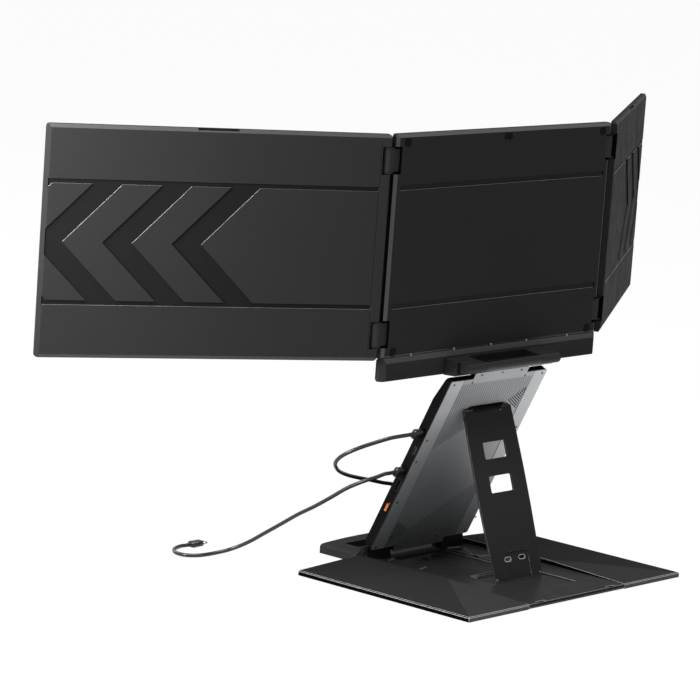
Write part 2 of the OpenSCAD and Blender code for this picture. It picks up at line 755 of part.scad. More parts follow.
module power_switch() {
    knob_l = switch_slot_l - 2 * switch_travel - 2 * run_gap;
    color("#e0702a") in_hub() translate([hub_w / 2, port_y, cover_z + switch_s]) {
        difference() {
            translate([-2.6, -1.2, -knob_l / 2]) cube([3.4, 2.4, knob_l]);
            for (z = [-2 : 1 : 2]) translate([0.5, -2, z - 0.2]) cube([1, 4, 0.4]);
        }
        translate([-2.6 - seat_gap, -1.9, -knob_l / 2 - 0.8]) cube([0.7, 3.8, knob_l + 1.6]);
    }
}

// ---------- kickstand: origin on its hinge bar, hanging down in z ----------

module kickstand() {
    corner_r = 3;
    slot_h = 3.2;
    panel_w = 39;
    panel_h = 26.5;
    bulge = 2.5;
    bulge_r = (pow(kick_l / 2, 2) + pow(bulge, 2)) / (2 * bulge);
    color("#2b2b2b") in_kickstand() {
        difference() {
            translate([0, kick_t / 2, 0]) upright(kick_t) difference() {
                union() {
                    translate([-kick_w / 2, -kick_l]) rounded_rect(kick_w, kick_l, corner_r);
                    // gently bowed long sides
                    for (side = [-1, 1]) intersection() {
                        translate([side * (kick_w / 2 + bulge - bulge_r), -kick_l / 2]) circle(bulge_r, $fn = 360);
                        translate([side * kick_w / 2 - 3, -kick_l]) square([6, kick_l]);
                    }
                }
                // slot under the hinge bar
                translate([-hinge_slot_w / 2, -hinge_bar_r - slot_h]) rounded_rect(hinge_slot_w, slot_h + 10, 1);
                // windows
                for (v = [40.8, 73.2]) translate([-window_w / 2, -v - window_h / 2]) rounded_rect(window_w, window_h, 1.5);
                // slots in the foot that drop over the storage hooks
                for (x = [-hook_x, hook_x]) translate([x, 20 - kick_l]) slot_outline(10.2, 5.6);
            }
            // sunk panel in the foot
            translate([0, kick_t / 2 + 4.3, -kick_l]) upright(5)
                translate([-panel_w / 2, -10]) rounded_rect(panel_w, panel_h + 10, 5);
            for (x = [-1, 1]) translate([x * (kick_w / 2 - 2.5), 2, 2 - kick_l]) rotate([90, 0, 0]) cylinder(4, r = 1.1);
        }
        rotate([0, 90, 0]) cylinder(kick_w - 2 * corner_r, r = hinge_bar_r, center = true);
    }
}

module kickstand_rivet(side) {
    color("#c0c0c0") in_kickstand() translate([side * (kick_w / 2 - 2.5), 0, 2 - kick_l]) rotate([-90, 0, 0]) {
        cylinder(kick_t, r = 1.1 - pin_fit, center = true);
        translate([0, 0, kick_t / 2]) rotate_extrude() polygon([[0, 0], [1.8, 0], [1.4, 0.6], [0, 0.8]]);
    }
}

module kickstand_rivet_left() { kickstand_rivet(1); }

module kickstand_rivet_right() { kickstand_rivet(-1); }

// ---------- centre screen ----------

// Screen slab with its lower inner rear corner at the origin, chamfered round the rear face
module slab(w, h, t, inner_chamfer) {
    intersection() {
        upright(t) rounded_rect(w, h, screen_corner_r);
        linear_extrude(h) polygon([[0, -t], [w, -t], [w, -edge_chamfer_d], [w - edge_chamfer_w, 0],
            [inner_chamfer * edge_chamfer_w / edge_chamfer_d, 0], [0, -inner_chamfer]]);
        translate([w / 2, 0, 0]) sideways(w) polygon([[-t, 0], [-edge_chamfer_d, 0], [0, edge_chamfer_w],
            [0, h - edge_chamfer_w], [-edge_chamfer_d, h], [-t, h]]);
    }
}

module display_pocket(gap) {
    inset = display_rim - gap;
    translate([inset, -tray_t + display_t + gap, inset]) upright(display_t + 3 * gap)
        rounded_rect(screen_w - 2 * inset, screen_h - 2 * inset, 1.5);
}

module display() {
    difference() {
        translate([display_rim + seat_gap, -tray_t + display_t, display_rim + seat_gap]) upright(display_t)
            rounded_rect(screen_w - 2 * (display_rim + seat_gap), screen_h - 2 * (display_rim + seat_gap), 1.5);
        children();
    }
}

module bezel() {
    difference() {
        translate([0, -tray_t - eps, 0]) upright(bezel_t) rounded_rect(screen_w, screen_h, screen_corner_r);
        translate([bezel_side, 0, bezel_bottom]) upright(20) rounded_rect(picture_w, picture_h, 1);
        children();
    }
}

// Cut-outs for the hinges in an edge; x runs inward from the edge
module hinge_cutouts(depth) {
    for (z = hinge_zs) translate([-1, -screen_t - 1, z - cutout_h / 2]) cube([depth + 1, screen_t + 2, cutout_h]);
}

module centre_cutouts(depth) {
    hinge_cutouts(depth);
    translate([screen_w, 0, 0]) mirror([1, 0, 0]) hinge_cutouts(depth);
}

module display_cutouts(extra) {
    for (z = hinge_zs) translate([-1, -screen_t - 1, z - cutout_h / 2 - 2]) cube([extra + 3, screen_t + 2, cutout_h + 4]);
}

module in_centre() {
    in_screen() translate([-screen_w / 2, -screen_setback, screen_rise]) children();
}

module centre_back() {
    groove_h = 5;
    color("#2a2a2a") in_centre() difference() {
        slab(screen_w, screen_h, tray_t, edge_chamfer_d);
        difference() {
            translate([0, -tray_t + display_t + seat_gap, 0]) translate([display_rim, 0, display_rim])
                upright(display_t + 1) rounded_rect(screen_w - 2 * display_rim, screen_h - 2 * display_rim, 1.5);
            display_cutouts(cutout_depth);
            translate([screen_w, 0, 0]) mirror([1, 0, 0]) display_cutouts(cutout_depth);
        }
        centre_cutouts(cutout_depth);
        // long grooves
        for (z = [recess_mid_z - raised_h / 2 - groove_h, recess_mid_z + raised_h / 2 + 0.3])
            translate([8, 1, z]) upright(1 + recess_depth) rounded_rect(screen_w - 16, groove_h, 1);
        // seats of the round pads and of the long one
        for (x = [14.6, screen_w - 14.6], z = [6.7, screen_h - 8]) translate([x, 1, z]) upright(1.6) circle(4);
        translate([screen_w / 2, 1, screen_h - 7.5]) upright(1.6) slot_outline(12, 6);
        // step for the chin
        translate([-1, -tray_t - 1, -1]) cube([screen_w + 2, tray_t + 2, ledge_top - screen_rise + 1 + seat_gap]);
    }
}

module centre_display() {
    color("#0c0e12") in_centre() display() {
        display_cutouts(cutout_depth + seat_gap);
        translate([screen_w, 0, 0]) mirror([1, 0, 0]) display_cutouts(cutout_depth + seat_gap);
    }
}

module centre_bezel() {
    drop = screen_rise + chin_drop;
    color("#161616") in_centre() {
        bezel() centre_cutouts(bezel_notch);
        translate([(screen_w - chin_w) / 2, -tray_t - eps, -drop]) upright(bezel_t)
            difference() {
                rounded_rect(chin_w, drop + 10, 3);
                translate([-1, drop]) square([chin_w + 2, 11]);
            }
    }
}

module chin_cover() {
    front = -screen_setback - tray_t;
    rear = arm_front_y - seat_gap;
    half = chin_w / 2;
    lip = 1.5;
    screw_r = 1.6;
    color("#262626") in_screen() difference() {
        intersection() {
            sideways(chin_w) polygon([[front, -chin_drop], [rear - lip, -chin_drop], [rear, lip - chin_drop],
                [rear, ledge_bottom], [-screen_setback, ledge_top], [front, ledge_top]]);
            // the ends carry on the chamfer of the screen
            translate([0, 0, -chin_drop]) linear_extrude(chin_drop + ledge_top) polygon([[-half, front], [half, front],
                [half, -screen_setback - edge_chamfer_d], [half - edge_chamfer_w - 1, rear],
                [edge_chamfer_w + 1 - half, rear], [-half, -screen_setback - edge_chamfer_d]]);
        }
        translate([chin_wall - half, front - 1, chin_wall - chin_drop])
            cube([chin_w - 2 * chin_wall, rear - front - 2 * chin_wall + 1, ledge_bottom + chin_drop - 2 * chin_wall]);
        for (x = chin_screw_x) translate([x, rear, (ledge_bottom + ledge_top) / 2]) rotate([90, 0, 0])
            translate([0, 0, -1]) cylinder(1.4, r = screw_r);
    }
}

module tilt_arms() {
    pad = 0.4;
    bend_y = -6;
    color("#1a1a1a") in_screen() difference() {
        union() {
            sideways(arm_w) polygon([[arm_front_y, arm_bottom + pad], [window_y, arm_bottom + pad], [bend_y - 2, -8],
                [bend_y, -7.2], [bend_y, barrel_r - 0.1], [arm_front_y, arm_top]]);
            sideways(barrel_l) union() {
                circle(barrel_r);
                polygon([[bend_y - 1, -7.4], [-2.4, -4.6], [0, 0], [0, barrel_r], [bend_y - 1, barrel_r + 0.1]]);
            }
        }
        translate([-barrel_mid_l / 2 - run_gap, window_y, -20]) cube([barrel_mid_l + 2 * run_gap, 60, 40]);
        rotate([0, 90, 0]) cylinder(tilt_shaft_l + 2 * run_gap, r = tilt_shaft_r + pin_fit, center = true);
        for (side = [-1, 1]) translate([side * (arm_w / 2 - 1.5) - 3, bend_y - 0.2, -20]) cube([6, 1, 40]);
    }
}

// Middle finger of a hinge with its leaf, at the hinge axis; x runs away from the screen that carries it
module hinge_middle(axis_y, z) {
    h = knuckle_h - 2 * finger_h - 2 * run_gap;
    reach = hinge_x - screen_w / 2 + cutout_depth;
    translate([0, 0, z - h / 2]) difference() {
        union() {
            cylinder(h, r = knuckle_r);
            translate([-reach, leaf_y - leaf_t - axis_y, 0]) cube([reach, leaf_t, h]);
            linear_extrude(h) polygon([[-knuckle_r - 1, leaf_y - leaf_t - axis_y], [-knuckle_r + 0.4, -1],
                [0, 0], [0, leaf_y - axis_y - 0.2], [-knuckle_r - 1, leaf_y - axis_y]]);
        }
        translate([0, 0, -1]) cylinder(h + 2, r = screen_pin_r + pin_fit);
    }
}

module centre_hinges(axis_y) {
    color("#3c3c3c") in_screen() translate([hinge_x, axis_y - screen_setback, screen_rise])
        for (z = hinge_zs) hinge_middle(axis_y, z);
}

module centre_hinges_left() { centre_hinges(left_hinge_y); }

module centre_hinges_right() { mirror([1, 0, 0]) centre_hinges(right_hinge_y); }

// ---------- wings ----------

// Raised panels seen from behind: the main panel and the chevrons beyond it
module raised_outline() {
    half = raised_h / 2;
    far = 2 * screen_w;
    intersection() {
        union() {
            polygon([[strip_w, half], [raised_tip - half, half], [raised_tip, 0], [raised_tip - half, -half],
                [strip_w, -half]]);
            for (i = [1 : 4]) let (tip = raised_tip + i * chevron_pitch, foot = tip - chevron_band)
                polygon([[foot - half, half], [tip - half, half], [tip, 0], [tip - half, -half],
                    [foot - half, -half], [foot, 0]]);
        }
        translate([strip_w, -half]) square([recess_end - strip_w, raised_h]);
    }
}

module wing_back() {
    difference() {
        slab(screen_w, screen_h, tray_t, 0.3);
        difference() {
            translate([display_rim, -tray_t + display_t + seat_gap, display_rim]) upright(display_t + 1)
                rounded_rect(screen_w - 2 * display_rim, screen_h - 2 * display_rim, 1.5);
            display_cutouts(wing_cutout);
        }
        hinge_cutouts(wing_cutout);
        translate([0, 1, recess_mid_z]) upright(1 + recess_depth) difference() {
            translate([strip_w, -raised_h / 2 - recess_margin])
                square([recess_end - strip_w, raised_h + 2 * recess_margin]);
            raised_outline();
        }
        // strip beside the hinges
        translate([strip_w - 0.4, 1, 8]) upright(1.4) square([0.8, screen_h - 16]);
        // pull notch in the top edge
        translate([pull_notch_x - pull_notch_l / 2, -edge_chamfer_d - 0.8, screen_h - 2])
            cube([pull_notch_l, tray_t, tray_t]);
    }
}

module wing_hinges(axis_y) {
    reach = wing_inset + wing_cutout;
    color("#3c3c3c") for (z = hinge_zs, end = [-1, 1])
        translate([-wing_inset, axis_y, z + end * (knuckle_h - finger_h) / 2 - finger_h / 2]) difference() {
            union() {
                cylinder(finger_h, r = knuckle_r);
                translate([0, leaf_y - leaf_t - axis_y, 0]) cube([reach, leaf_t, finger_h]);
                linear_extrude(finger_h) polygon([[reach, leaf_y - leaf_t - axis_y], [knuckle_r - 0.4, -1],
                    [0, 0], [0, leaf_y - axis_y - 0.2], [reach, leaf_y - axis_y]]);
            }
            translate([0, 0, -1]) cylinder(finger_h + 2, r = screen_pin_r);
        }
}

module wing_pins(axis_y) {
    color("#a0a0a0") for (z = hinge_zs) translate([-wing_inset, axis_y, z - knuckle_h / 2])
        cylinder(knuckle_h, r = screen_pin_r);
}

module left_wing_back() { color("#4a4a4a") in_left_wing() wing_back(); }

module left_wing_display() { color("#0c0e12") in_left_wing() display() display_cutouts(wing_cutout + seat_gap); }

module left_wing_bezel() { color("#161616") in_left_wing() bezel() hinge_cutouts(wing_cutout); }

module left_wing_hinges() { in_left_wing() wing_hinges(left_hinge_y); }

module left_wing_pins() { in_left_wing() wing_pins(left_hinge_y); }

module right_wing_back() { color("#505050") in_right_wing() wing_back(); }

module right_wing_display() { color("#0c0e12") in_right_wing() display() display_cutouts(wing_cutout + seat_gap); }

module right_wing_bezel() { color("#161616") in_right_wing() bezel() hinge_cutouts(wing_cutout); }

module right_wing_hinges() { in_right_wing() wing_hinges(right_hinge_y); }

module right_wing_pins() { in_right_wing() wing_pins(right_hinge_y); }

// ---------- cables ----------

// USB-C plug pointing along -x, with its mouth at the origin and its wide side along z
module usb_c_plug() {
    rotate([0, 90, 0]) {
        difference() {
            translate([0, 0, -plug_tip_l]) linear_extrude(plug_tip_l + 0.2) slot_outline(8.1, 2.4);
            translate([0, 0, -plug_tip_l - 1]) linear_extrude(plug_tip_l) slot_outline(7.2, 1.5);
        }
        translate([0, 0, seat_gap]) linear_extrude(plug_l) slot_outline(12, plug_h);
        translate([0, 0, seat_gap + plug_l]) cylinder(boot_l, r1 = cable_d / 2 + 0.6, r2 = cable_d / 2);
    }
}

// A plug that lies on the table at the end of a cable's route, turned about z
module lying_plug(route, turn) {
    place = last_of(route);
    translate([place[0], place[1], plug_h / 2 + seat_gap]) rotate([0, 0, turn])
        translate([-boot_l - plug_l - 2 * seat_gap, 0, 0]) rotate([90, 0, 0]) usb_c_plug();
}

module hub_plug(s) {
    color("#2c2c2c") in_hub() translate([hub_w / 2 + seat_gap, port_y, cover_z + s]) usb_c_plug();
}

module hub_plug_upper() { hub_plug(upper_port_s); }

module hub_plug_lower() { hub_plug(lower_port_s); }

module laptop_cable() { color("#1c1c1c") cable(LAPTOP_ROUTE, 3); }

module laptop_plug() { color("#2c2c2c") lying_plug(LAPTOP_ROUTE, 0); }

module spare_cable() { color("#1c1c1c") cable(SPARE_ROUTE, 3); }

module spare_cable_coil() {
    layers = ceil(coil_turns / 2);
    color("#1c1c1c") translate(coil_centre) rotate_extrude($fn = 48)
        translate([coil_d / 2 - cable_d, 0]) square([2 * cable_d, layers * cable_d]);
}

module spare_cable_end() { color("#1c1c1c") cable(SPARE_END_ROUTE, 3); }

module spare_plug() { color("#2c2c2c") lying_plug(SPARE_END_ROUTE, 0); }

// ---------- placement ----------

foot_pad_middle();
foot_pad_left();
foot_pad_right();
base_floor();
base_deck();
base_wing_left();
base_wing_right();
tongue();
tongue_well();
hub_bracket_left();
hub_bracket_right();
hub_hinge_pin();
hub_pin_cap_left();
hub_pin_cap_right();
storage_hooks();
foot_catch();
foot_rest();
hub_housing();
hub_cover();
hub_circuit_board();
usb_c_socket_upper();
usb_c_socket_free();
usb_c_socket_lower();
large_socket();
hub_barrel();
tilt_shaft();
kickstand_clip();
power_switch();
kickstand();
kickstand_rivet_left();
kickstand_rivet_right();
tilt_arms();
chin_cover();
centre_back();
centre_display();
centre_bezel();
centre_hinges_left();
centre_hinges_right();
left_wing_back();
left_wing_display();
left_wing_bezel();
left_wing_hinges();
left_wing_pins();
right_wing_back();
right_wing_display();
right_wing_bezel();
right_wing_hinges();
right_wing_pins();
hub_plug_upper();
hub_plug_lower();
laptop_cable();
laptop_plug();
spare_cable();
spare_cable_coil();
spare_cable_end();
spare_plug();
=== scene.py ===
import json
import math

import bmesh
import bpy
from bpy.props import FloatProperty, FloatVectorProperty, IntProperty, PointerProperty
from mathutils import Matrix, Vector


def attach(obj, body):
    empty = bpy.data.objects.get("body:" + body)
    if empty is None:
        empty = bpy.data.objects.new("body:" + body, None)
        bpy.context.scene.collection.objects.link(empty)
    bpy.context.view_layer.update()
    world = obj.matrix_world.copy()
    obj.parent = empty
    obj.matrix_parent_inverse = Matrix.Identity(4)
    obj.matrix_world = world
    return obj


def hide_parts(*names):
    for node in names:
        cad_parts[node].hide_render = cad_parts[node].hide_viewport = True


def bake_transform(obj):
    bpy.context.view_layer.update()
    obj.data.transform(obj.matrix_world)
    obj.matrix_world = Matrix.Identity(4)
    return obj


bl_info = {
    "name": "Laptop screen extender",
    "version": (1, 0, 0),
    "blender": (4, 5, 0),
    "location": "3D View > Sidebar > Extender",
    "description": "Dresses the screen extender's frame with its finishes, cables and small parts",
    "category": "Object",
}

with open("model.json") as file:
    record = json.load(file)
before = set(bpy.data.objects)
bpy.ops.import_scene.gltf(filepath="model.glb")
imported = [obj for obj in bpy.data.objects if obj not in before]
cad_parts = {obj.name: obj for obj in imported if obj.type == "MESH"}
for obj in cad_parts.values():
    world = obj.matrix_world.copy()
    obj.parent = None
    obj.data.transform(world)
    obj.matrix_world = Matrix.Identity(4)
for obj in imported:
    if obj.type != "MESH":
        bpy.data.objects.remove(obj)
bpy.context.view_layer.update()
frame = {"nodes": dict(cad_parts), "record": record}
MM_PER_METRE = 1000.0

# The hub's own frame: origin on its hinge, y rearward through the hub, z up along it
HUB_HINGE = Vector((0.0, -0.1005, 0.0138))
HUB_LEAN = math.radians(25.0)
HUB_FRAME = Matrix.Translation(HUB_HINGE) @ Matrix.Rotation(-HUB_LEAN, 4, "X")
COVER_REAR = 0.0075
COVER_FOOT = 0.006

# The hub cover's pattern in the hub's frame: dots fill two fields, with a smooth slanted band between them
# and a smooth strip along each side. Each pair is where a change starts and ends
DOT_PITCH = 0.0027
BAND_SLOPE = 0.568
LOWER_FIELD_END = (0.0434, 0.0439)
UPPER_FIELD_START = (0.1515, 0.1520)
FIELD_SIDE = (0.0525, 0.0529)
FIELD_TOP = (0.1965, 0.1970)
RIM_LINE_START = (0.0523, 0.0526)
RIM_LINE_END = (0.0531, 0.0534)

# The barrel that the screens tilt on, and from it the feet and the rear faces of the screens
BARREL_Y = 0.003183
BARREL_Z = 0.207754
FOOT_RISE = 0.0116
REAR_DEPTH = 0.0245
SCREEN_FOOT = BARREL_Z + FOOT_RISE
SCREEN_REAR = BARREL_Y - REAR_DEPTH
SCREEN_HEIGHT = 0.208
# The axes that the wings fold on, how many degrees they are folded, and how far they reach over their axes
HINGE_X = 0.165
LEFT_AXIS_Y = -0.027917
RIGHT_AXIS_Y = -0.031517
LEFT_FOLD = 29.7
RIGHT_FOLD = 31.6
WING_INSET = -0.0015
# Heights of the hinges above the screens' feet, half a hinge's length, and its washers and tabs
HINGE_RISES = (0.0237, 0.1838)
HALF_HINGE = 0.01205
WASHER_RADIUS = 0.0058
WASHER_THICKNESS = 0.0005
HINGE_TAB = (0.0118, 0.0046, 0.0004)
TAB_INSET = 0.0065
TAB_DEPTH = 0.0040

# The kickstand's hinge in the hub's frame, its length and lean, and its storage slots
KICK_PIVOT = Vector((0.0, 0.009, 0.1661))
KICK_ANGLE = math.radians(44.45)
KICK_LENGTH = 0.165
KICK_FRAME = HUB_FRAME @ Matrix.Translation(KICK_PIVOT) @ Matrix.Rotation(KICK_ANGLE, 4, "X")
SLOT_SIDE = 0.0106
SLOT_RISE = 0.020
SLOT_DEPTH = 0.0012
# Width and height of a slot's painted seat, of its steel rim and of the hole in it, and the tops of both
SLOT_SEAT = (0.01016, 0.00556)
SLOT_RIM = (0.0101, 0.0044)
SLOT_HOLE = (0.0092, 0.0035)
SEAT_TOP = 0.0001
RIM_TOP = 0.0003
# The seat of the kickstand's hinge: width, height and corner, thickness, and how far it lies below the hinge
HINGE_SEAT = (0.052, 0.016, 0.001)
HINGE_SEAT_THICKNESS = 0.0002
HINGE_SEAT_DROP = 0.005
# Rounding of thin plates, and sides of round parts
THIN_ROUNDING = 0.00005
WASHER_SIDES = 32
RING_POINTS = 24

# Screws in millimetres across and up the hub's cover, of which the last three are on its tab
COVER_SCREWS = [
    (66, 192), (39.5, 192), (-39.5, 192), (-66, 192), (67, 128.3), (-67, 128.3), (67.8, 103.5),
    (67, 55.9), (-67, 55.9), (66.5, 2.7), (-66.5, 2.7), (22.2, 3.6), (-22.2, 3.6), (29.6, 199.7),
    (-0.9, 199.7), (-29.6, 199.7),
]
# Their heads and seats against the screw radius, and the heights of both
HUB_HEAD = 0.78
HUB_SEAT = 1.1
HUB_HEAD_HEIGHT = 0.0003
HUB_SEAT_HEIGHT = 0.00012
# Screws in millimetres across the ledge above the chin, its height, and the size of their heads
CHIN_SCREWS = (119.0, 56.6, 2.2, -51.4, -114.5)
CHIN_LEDGE = 0.2213
CHIN_HEAD = 0.0014
CHIN_HEAD_HEIGHT = 0.0008
# A screw head from the socket's floor to its rim, as shares of its radius and height. Then the depth of the
# shank, how narrow every second corner of the socket is, and the height of a seat's crown
SCREW_DOME = [(0.0, 0.2), (0.34, 0.2), (0.42, 0.92), (0.62, 1.0), (0.88, 0.7), (1.0, 0.1)]
SCREW_SIDES = 20
SHANK = 0.6
SOCKET_FLUTE = 0.6
SEAT_CROWN = 1.3
# Soft pads on the back of the middle screen: width, height and corner, then places across and up
CORNER_PAD = (0.0086, 0.0070, 0.0018)
TOP_PAD = (0.012, 0.0052, 0.0024)
SCREEN_PADS = [
    (CORNER_PAD, -0.1454, 0.226), (CORNER_PAD, -0.1454, 0.4195), (CORNER_PAD, 0.1454, 0.226),
    (CORNER_PAD, 0.1454, 0.4195), (TOP_PAD, 0.0, 0.4198),
]
PAD_THICKNESS = 0.0006
PAD_ROUNDING = 0.00025

# A plug's mouth beside the hub, and the heights of both hub plugs along the hub
PLUG_SIDE = 0.0721
PLUG_DEPTH = 0.0025
HUB_PLUGS = {"hub_plug_upper": 0.1345, "hub_plug_lower": 0.0905}
# How far a lying plug reaches before its cable, and how high its middle lies
LYING_REACH = 0.022
LYING_HEIGHT = 0.0033
# Widths, thicknesses and places of a plug's cross-sections, in millimetres
PLUG_TIP = [(8.1, 2.4, -5.4), (8.1, 2.4, 0.4)]
PLUG_BODY = [
    (9.0, 5.0, 0.2), (9.8, 5.8, 0.6), (9.8, 5.8, 9.3), (9.2, 5.2, 9.6), (9.2, 5.2, 10.2),
    (10.2, 6.1, 10.5), (10.6, 6.2, 11.4), (10.2, 6.0, 12.6), (8.6, 5.0, 13.1), (4.5, 4.3, 13.15),
    (4.3, 4.2, 15.4), (3.7, 3.6, 15.5), (3.7, 3.6, 16.0), (4.2, 4.1, 16.1), (4.0, 3.9, 18.2),
    (3.5, 3.4, 18.3), (3.5, 3.4, 18.8), (3.9, 3.8, 18.9), (3.5, 3.4, 21.9),
]

# The cables' routes in millimetres, which are those of the solids
CABLE_DIAMETER = 0.0038
LAPTOP_ROUTE = [
    (94.3, -57.45, 100.2), (97.3, -57.45, 100.2), (100.3, -57.45, 100.2), (108, -62.5, 96.5),
    (115, -70, 92.5), (122, -84, 84), (128, -98, 73), (133, -113, 62), (138, -129, 51.5),
    (141, -146, 39.5), (144.5, -163, 27.5), (148, -181, 15), (156, -195, 6.5), (170, -202, 3),
    (188, -205, 2.4), (199, -213, 2.3), (200, -225, 2.4), (192, -235, 2.7), (181, -238.5, 3.3),
    (174, -238.5, 3.3),
]
SPARE_ROUTE = [
    (94.3, -38.86, 140.08), (97.3, -38.86, 140.08), (100.3, -38.86, 140.08), (114, -42, 138.8),
    (127, -47, 135.5), (139, -54, 131), (147.5, -63, 125), (149.5, -72, 118.5), (144, -82, 110),
    (128, -91, 100), (108, -97, 92.5), (88, -100, 87), (71, -100, 83), (55, -98, 79), (38, -97, 75),
    (18, -103, 64), (0, -115, 50), (-20, -131, 36), (-38, -150, 22), (-50, -163, 12), (-62, -169, 5.2),
    (-73, -170, 2.6), (-84, -169, 2.3),
]
# Where each cable has come down to the table
LAPTOP_TABLE = (0.156, -0.195, 0.0065)
SPARE_TABLE = (-0.062, -0.169, 0.0052)
COIL_CENTRE = (-104.0, -192.0)
# The winding: angle in degrees, radius and height in millimetres, and the degrees from point to point
COIL_STOPS = [
    (65, 26.4, 2.3), (100, 23.9, 2.0), (390, 23.9, 2.0), (430, 20.1, 2.0), (705, 20.1, 2.0),
    (750, 20.1, 5.8), (1025, 20.1, 5.8), (1070, 23.9, 5.8), (1410, 23.9, 5.8), (1450, 27.8, 5.9),
    (1530, 27.9, 6.0), (1569, 27.5, 4.2),
]
COIL_STEP = 11
# Points between two stops of a route, and between the second route's end and the coil
POINTS_PER_SPAN = 7
POINTS_BEFORE_COIL = 4
SPARE_END = [(-130, -172, 2.5), (-139, -171.4, 2.6), (-147, -170.5, 3.3), (-153, -170.5, 3.3)]

# The camera, the floor, the world, and the lamps with their names, places, sizes and powers
CAMERA_PLACE = (2.61301, 2.04830, 0.78092)
CAMERA_AZIMUTH = math.radians(49.32)
CAMERA_ELEVATION = math.radians(9.79)
CAMERA_ROLL = math.radians(4.15)
FOCAL_PIXELS = 3572.07
FRAME_PIXELS = 700.0
SENSOR_WIDTH = 36.0
CLIP_END = 30.0
FLOOR_SIZE = 12.0
FLOOR_GLOW = 0.95
WORLD_LIGHT = 0.27
WORLD_SHINE = 0.35
LAMP_AIM = Vector((0.0, 0.0, 0.2))
LAMPS = [
    ("key", (0.76, -0.16, 0.52), 0.30, 11.0),
    ("top", (-0.1, 0.3, 2.5), 1.4, 72.0),
    ("fill", (-1.6, 1.8, 1.2), 1.0, 3.0),
    ("front", (0.0, -2.4, 1.6), 1.8, 30.0),
]

# Degrees between two faces: their edge is rounded above the first, dropped below the second, and on a plug
# sharp above the third
SHARP_ANGLE = 28.0
FLAT_ANGLE = 0.6
PLUG_SHARP_ANGLE = 35.0
# Points that are nearer than this are one, in a node and in a turned shape, or lie on its axis
MERGE_DISTANCE = 2e-6
SEAM_DISTANCE = 1e-7
AXIS_DISTANCE = 1e-6

# How far a face looks along an axis, as the share of its normal there
STRAIGHT = 0.9
HALFWAY = 0.5
CLEARLY = 0.3
SLIGHTLY = 0.2
BARELY = 0.02
# Where looks change on the middle screen's back: ends of its grooves, their depth, and the hinges' cut-outs
GROOVE_END = 0.150
GROOVE_DEPTH = 0.002
CUTOUT_SIDE = 0.148
CUTOUT_REACH = 0.0935
# Where they change on a wing's back, in its frame: chevrons, recess, chamfer all round, hinges' pockets
CHEVRON_START = 0.010
CHEVRON_MARGIN = 0.02
WING_RIM = 0.316
RECESS_DEPTHS = (0.0008, 0.0031)
CHAMFER = 0.004
HINGE_SIDE = (0.0003, 0.009)
POCKET_SIDE = 0.0082
POCKET_DEPTH = 0.0015


class ExtenderFinishes(bpy.types.PropertyGroup):
    """Colours and grain of the screen extender"""

    shell: FloatVectorProperty(
        name="Screen shells", description="Colour of the plastic backs of the screens",
        subtype="COLOR", size=3, min=0.0, max=1.0, default=(0.0150, 0.0150, 0.0154))
    middle: FloatVectorProperty(
        name="Middle screen", description="Colour of the middle screen's back and chin",
        subtype="COLOR", size=3, min=0.0, max=1.0, default=(0.0155, 0.0155, 0.016))
    base: FloatVectorProperty(
        name="Base", description="Colour of the base covers and the tongue",
        subtype="COLOR", size=3, min=0.0, max=1.0, default=(0.015, 0.015, 0.0155))
    stand: FloatVectorProperty(
        name="Kickstand", description="Colour of the painted kickstand",
        subtype="COLOR", size=3, min=0.0, max=1.0, default=(0.0185, 0.0185, 0.019))
    plate: FloatVectorProperty(
        name="Hub cover", description="Colour of the hub's metal cover",
        subtype="COLOR", size=3, min=0.0, max=1.0, default=(0.50, 0.515, 0.53))
    # Painted highlight: rounded edges are given a lighter colour than their shells, in place of the light on
    # them
    edge: FloatVectorProperty(
        name="Edges", description="Colour of the polished edges",
        subtype="COLOR", size=3, min=0.0, max=1.0, default=(0.12, 0.12, 0.122))
    # Painted highlight: the kickstand's rounded edges take this light colour, and the base's and the
    # tongue's take half of it, in place of the light on them
    worn: FloatVectorProperty(
        name="Bare edges", description="Colour of the kickstand's bare edges, and twice that of the base's",
        subtype="COLOR", size=3, min=0.0, max=1.0, default=(0.52, 0.52, 0.53))
    switch: FloatVectorProperty(
        name="Power switch", description="Colour of the power switch",
        subtype="COLOR", size=3, min=0.0, max=1.0, default=(0.56, 0.15, 0.032))
    cable: FloatVectorProperty(
        name="Cables", description="Colour of the cables' sheath",
        subtype="COLOR", size=3, min=0.0, max=1.0, default=(0.005, 0.005, 0.0055))
    grain: FloatProperty(
        name="Grain", description="Depth of the moulded grain on the plastic shells",
        subtype="DISTANCE", unit="LENGTH", min=0.0, max=0.0005, precision=5, default=0.00004)
    cable_sides: IntProperty(
        name="Cable sides", description="Faces round a cable", min=6, max=32, default=14)


class ExtenderSizes(bpy.types.PropertyGroup):
    """Sizes of the screen extender's small parts"""

    edge_round: FloatProperty(
        name="Edge rounding", description="Width of the rounded edges of the shells",
        subtype="DISTANCE", unit="LENGTH", min=0.0001, max=0.001, precision=5, default=0.0003)
    screw_radius: FloatProperty(
        name="Screw radius", description="Radius of the screw heads in the hub cover",
        subtype="DISTANCE", unit="LENGTH", min=0.001, max=0.003, precision=5, default=0.0015)


# ---------- finishes ----------

def times(colour, factor):
    return tuple(min(1.0, c * factor) for c in colour)


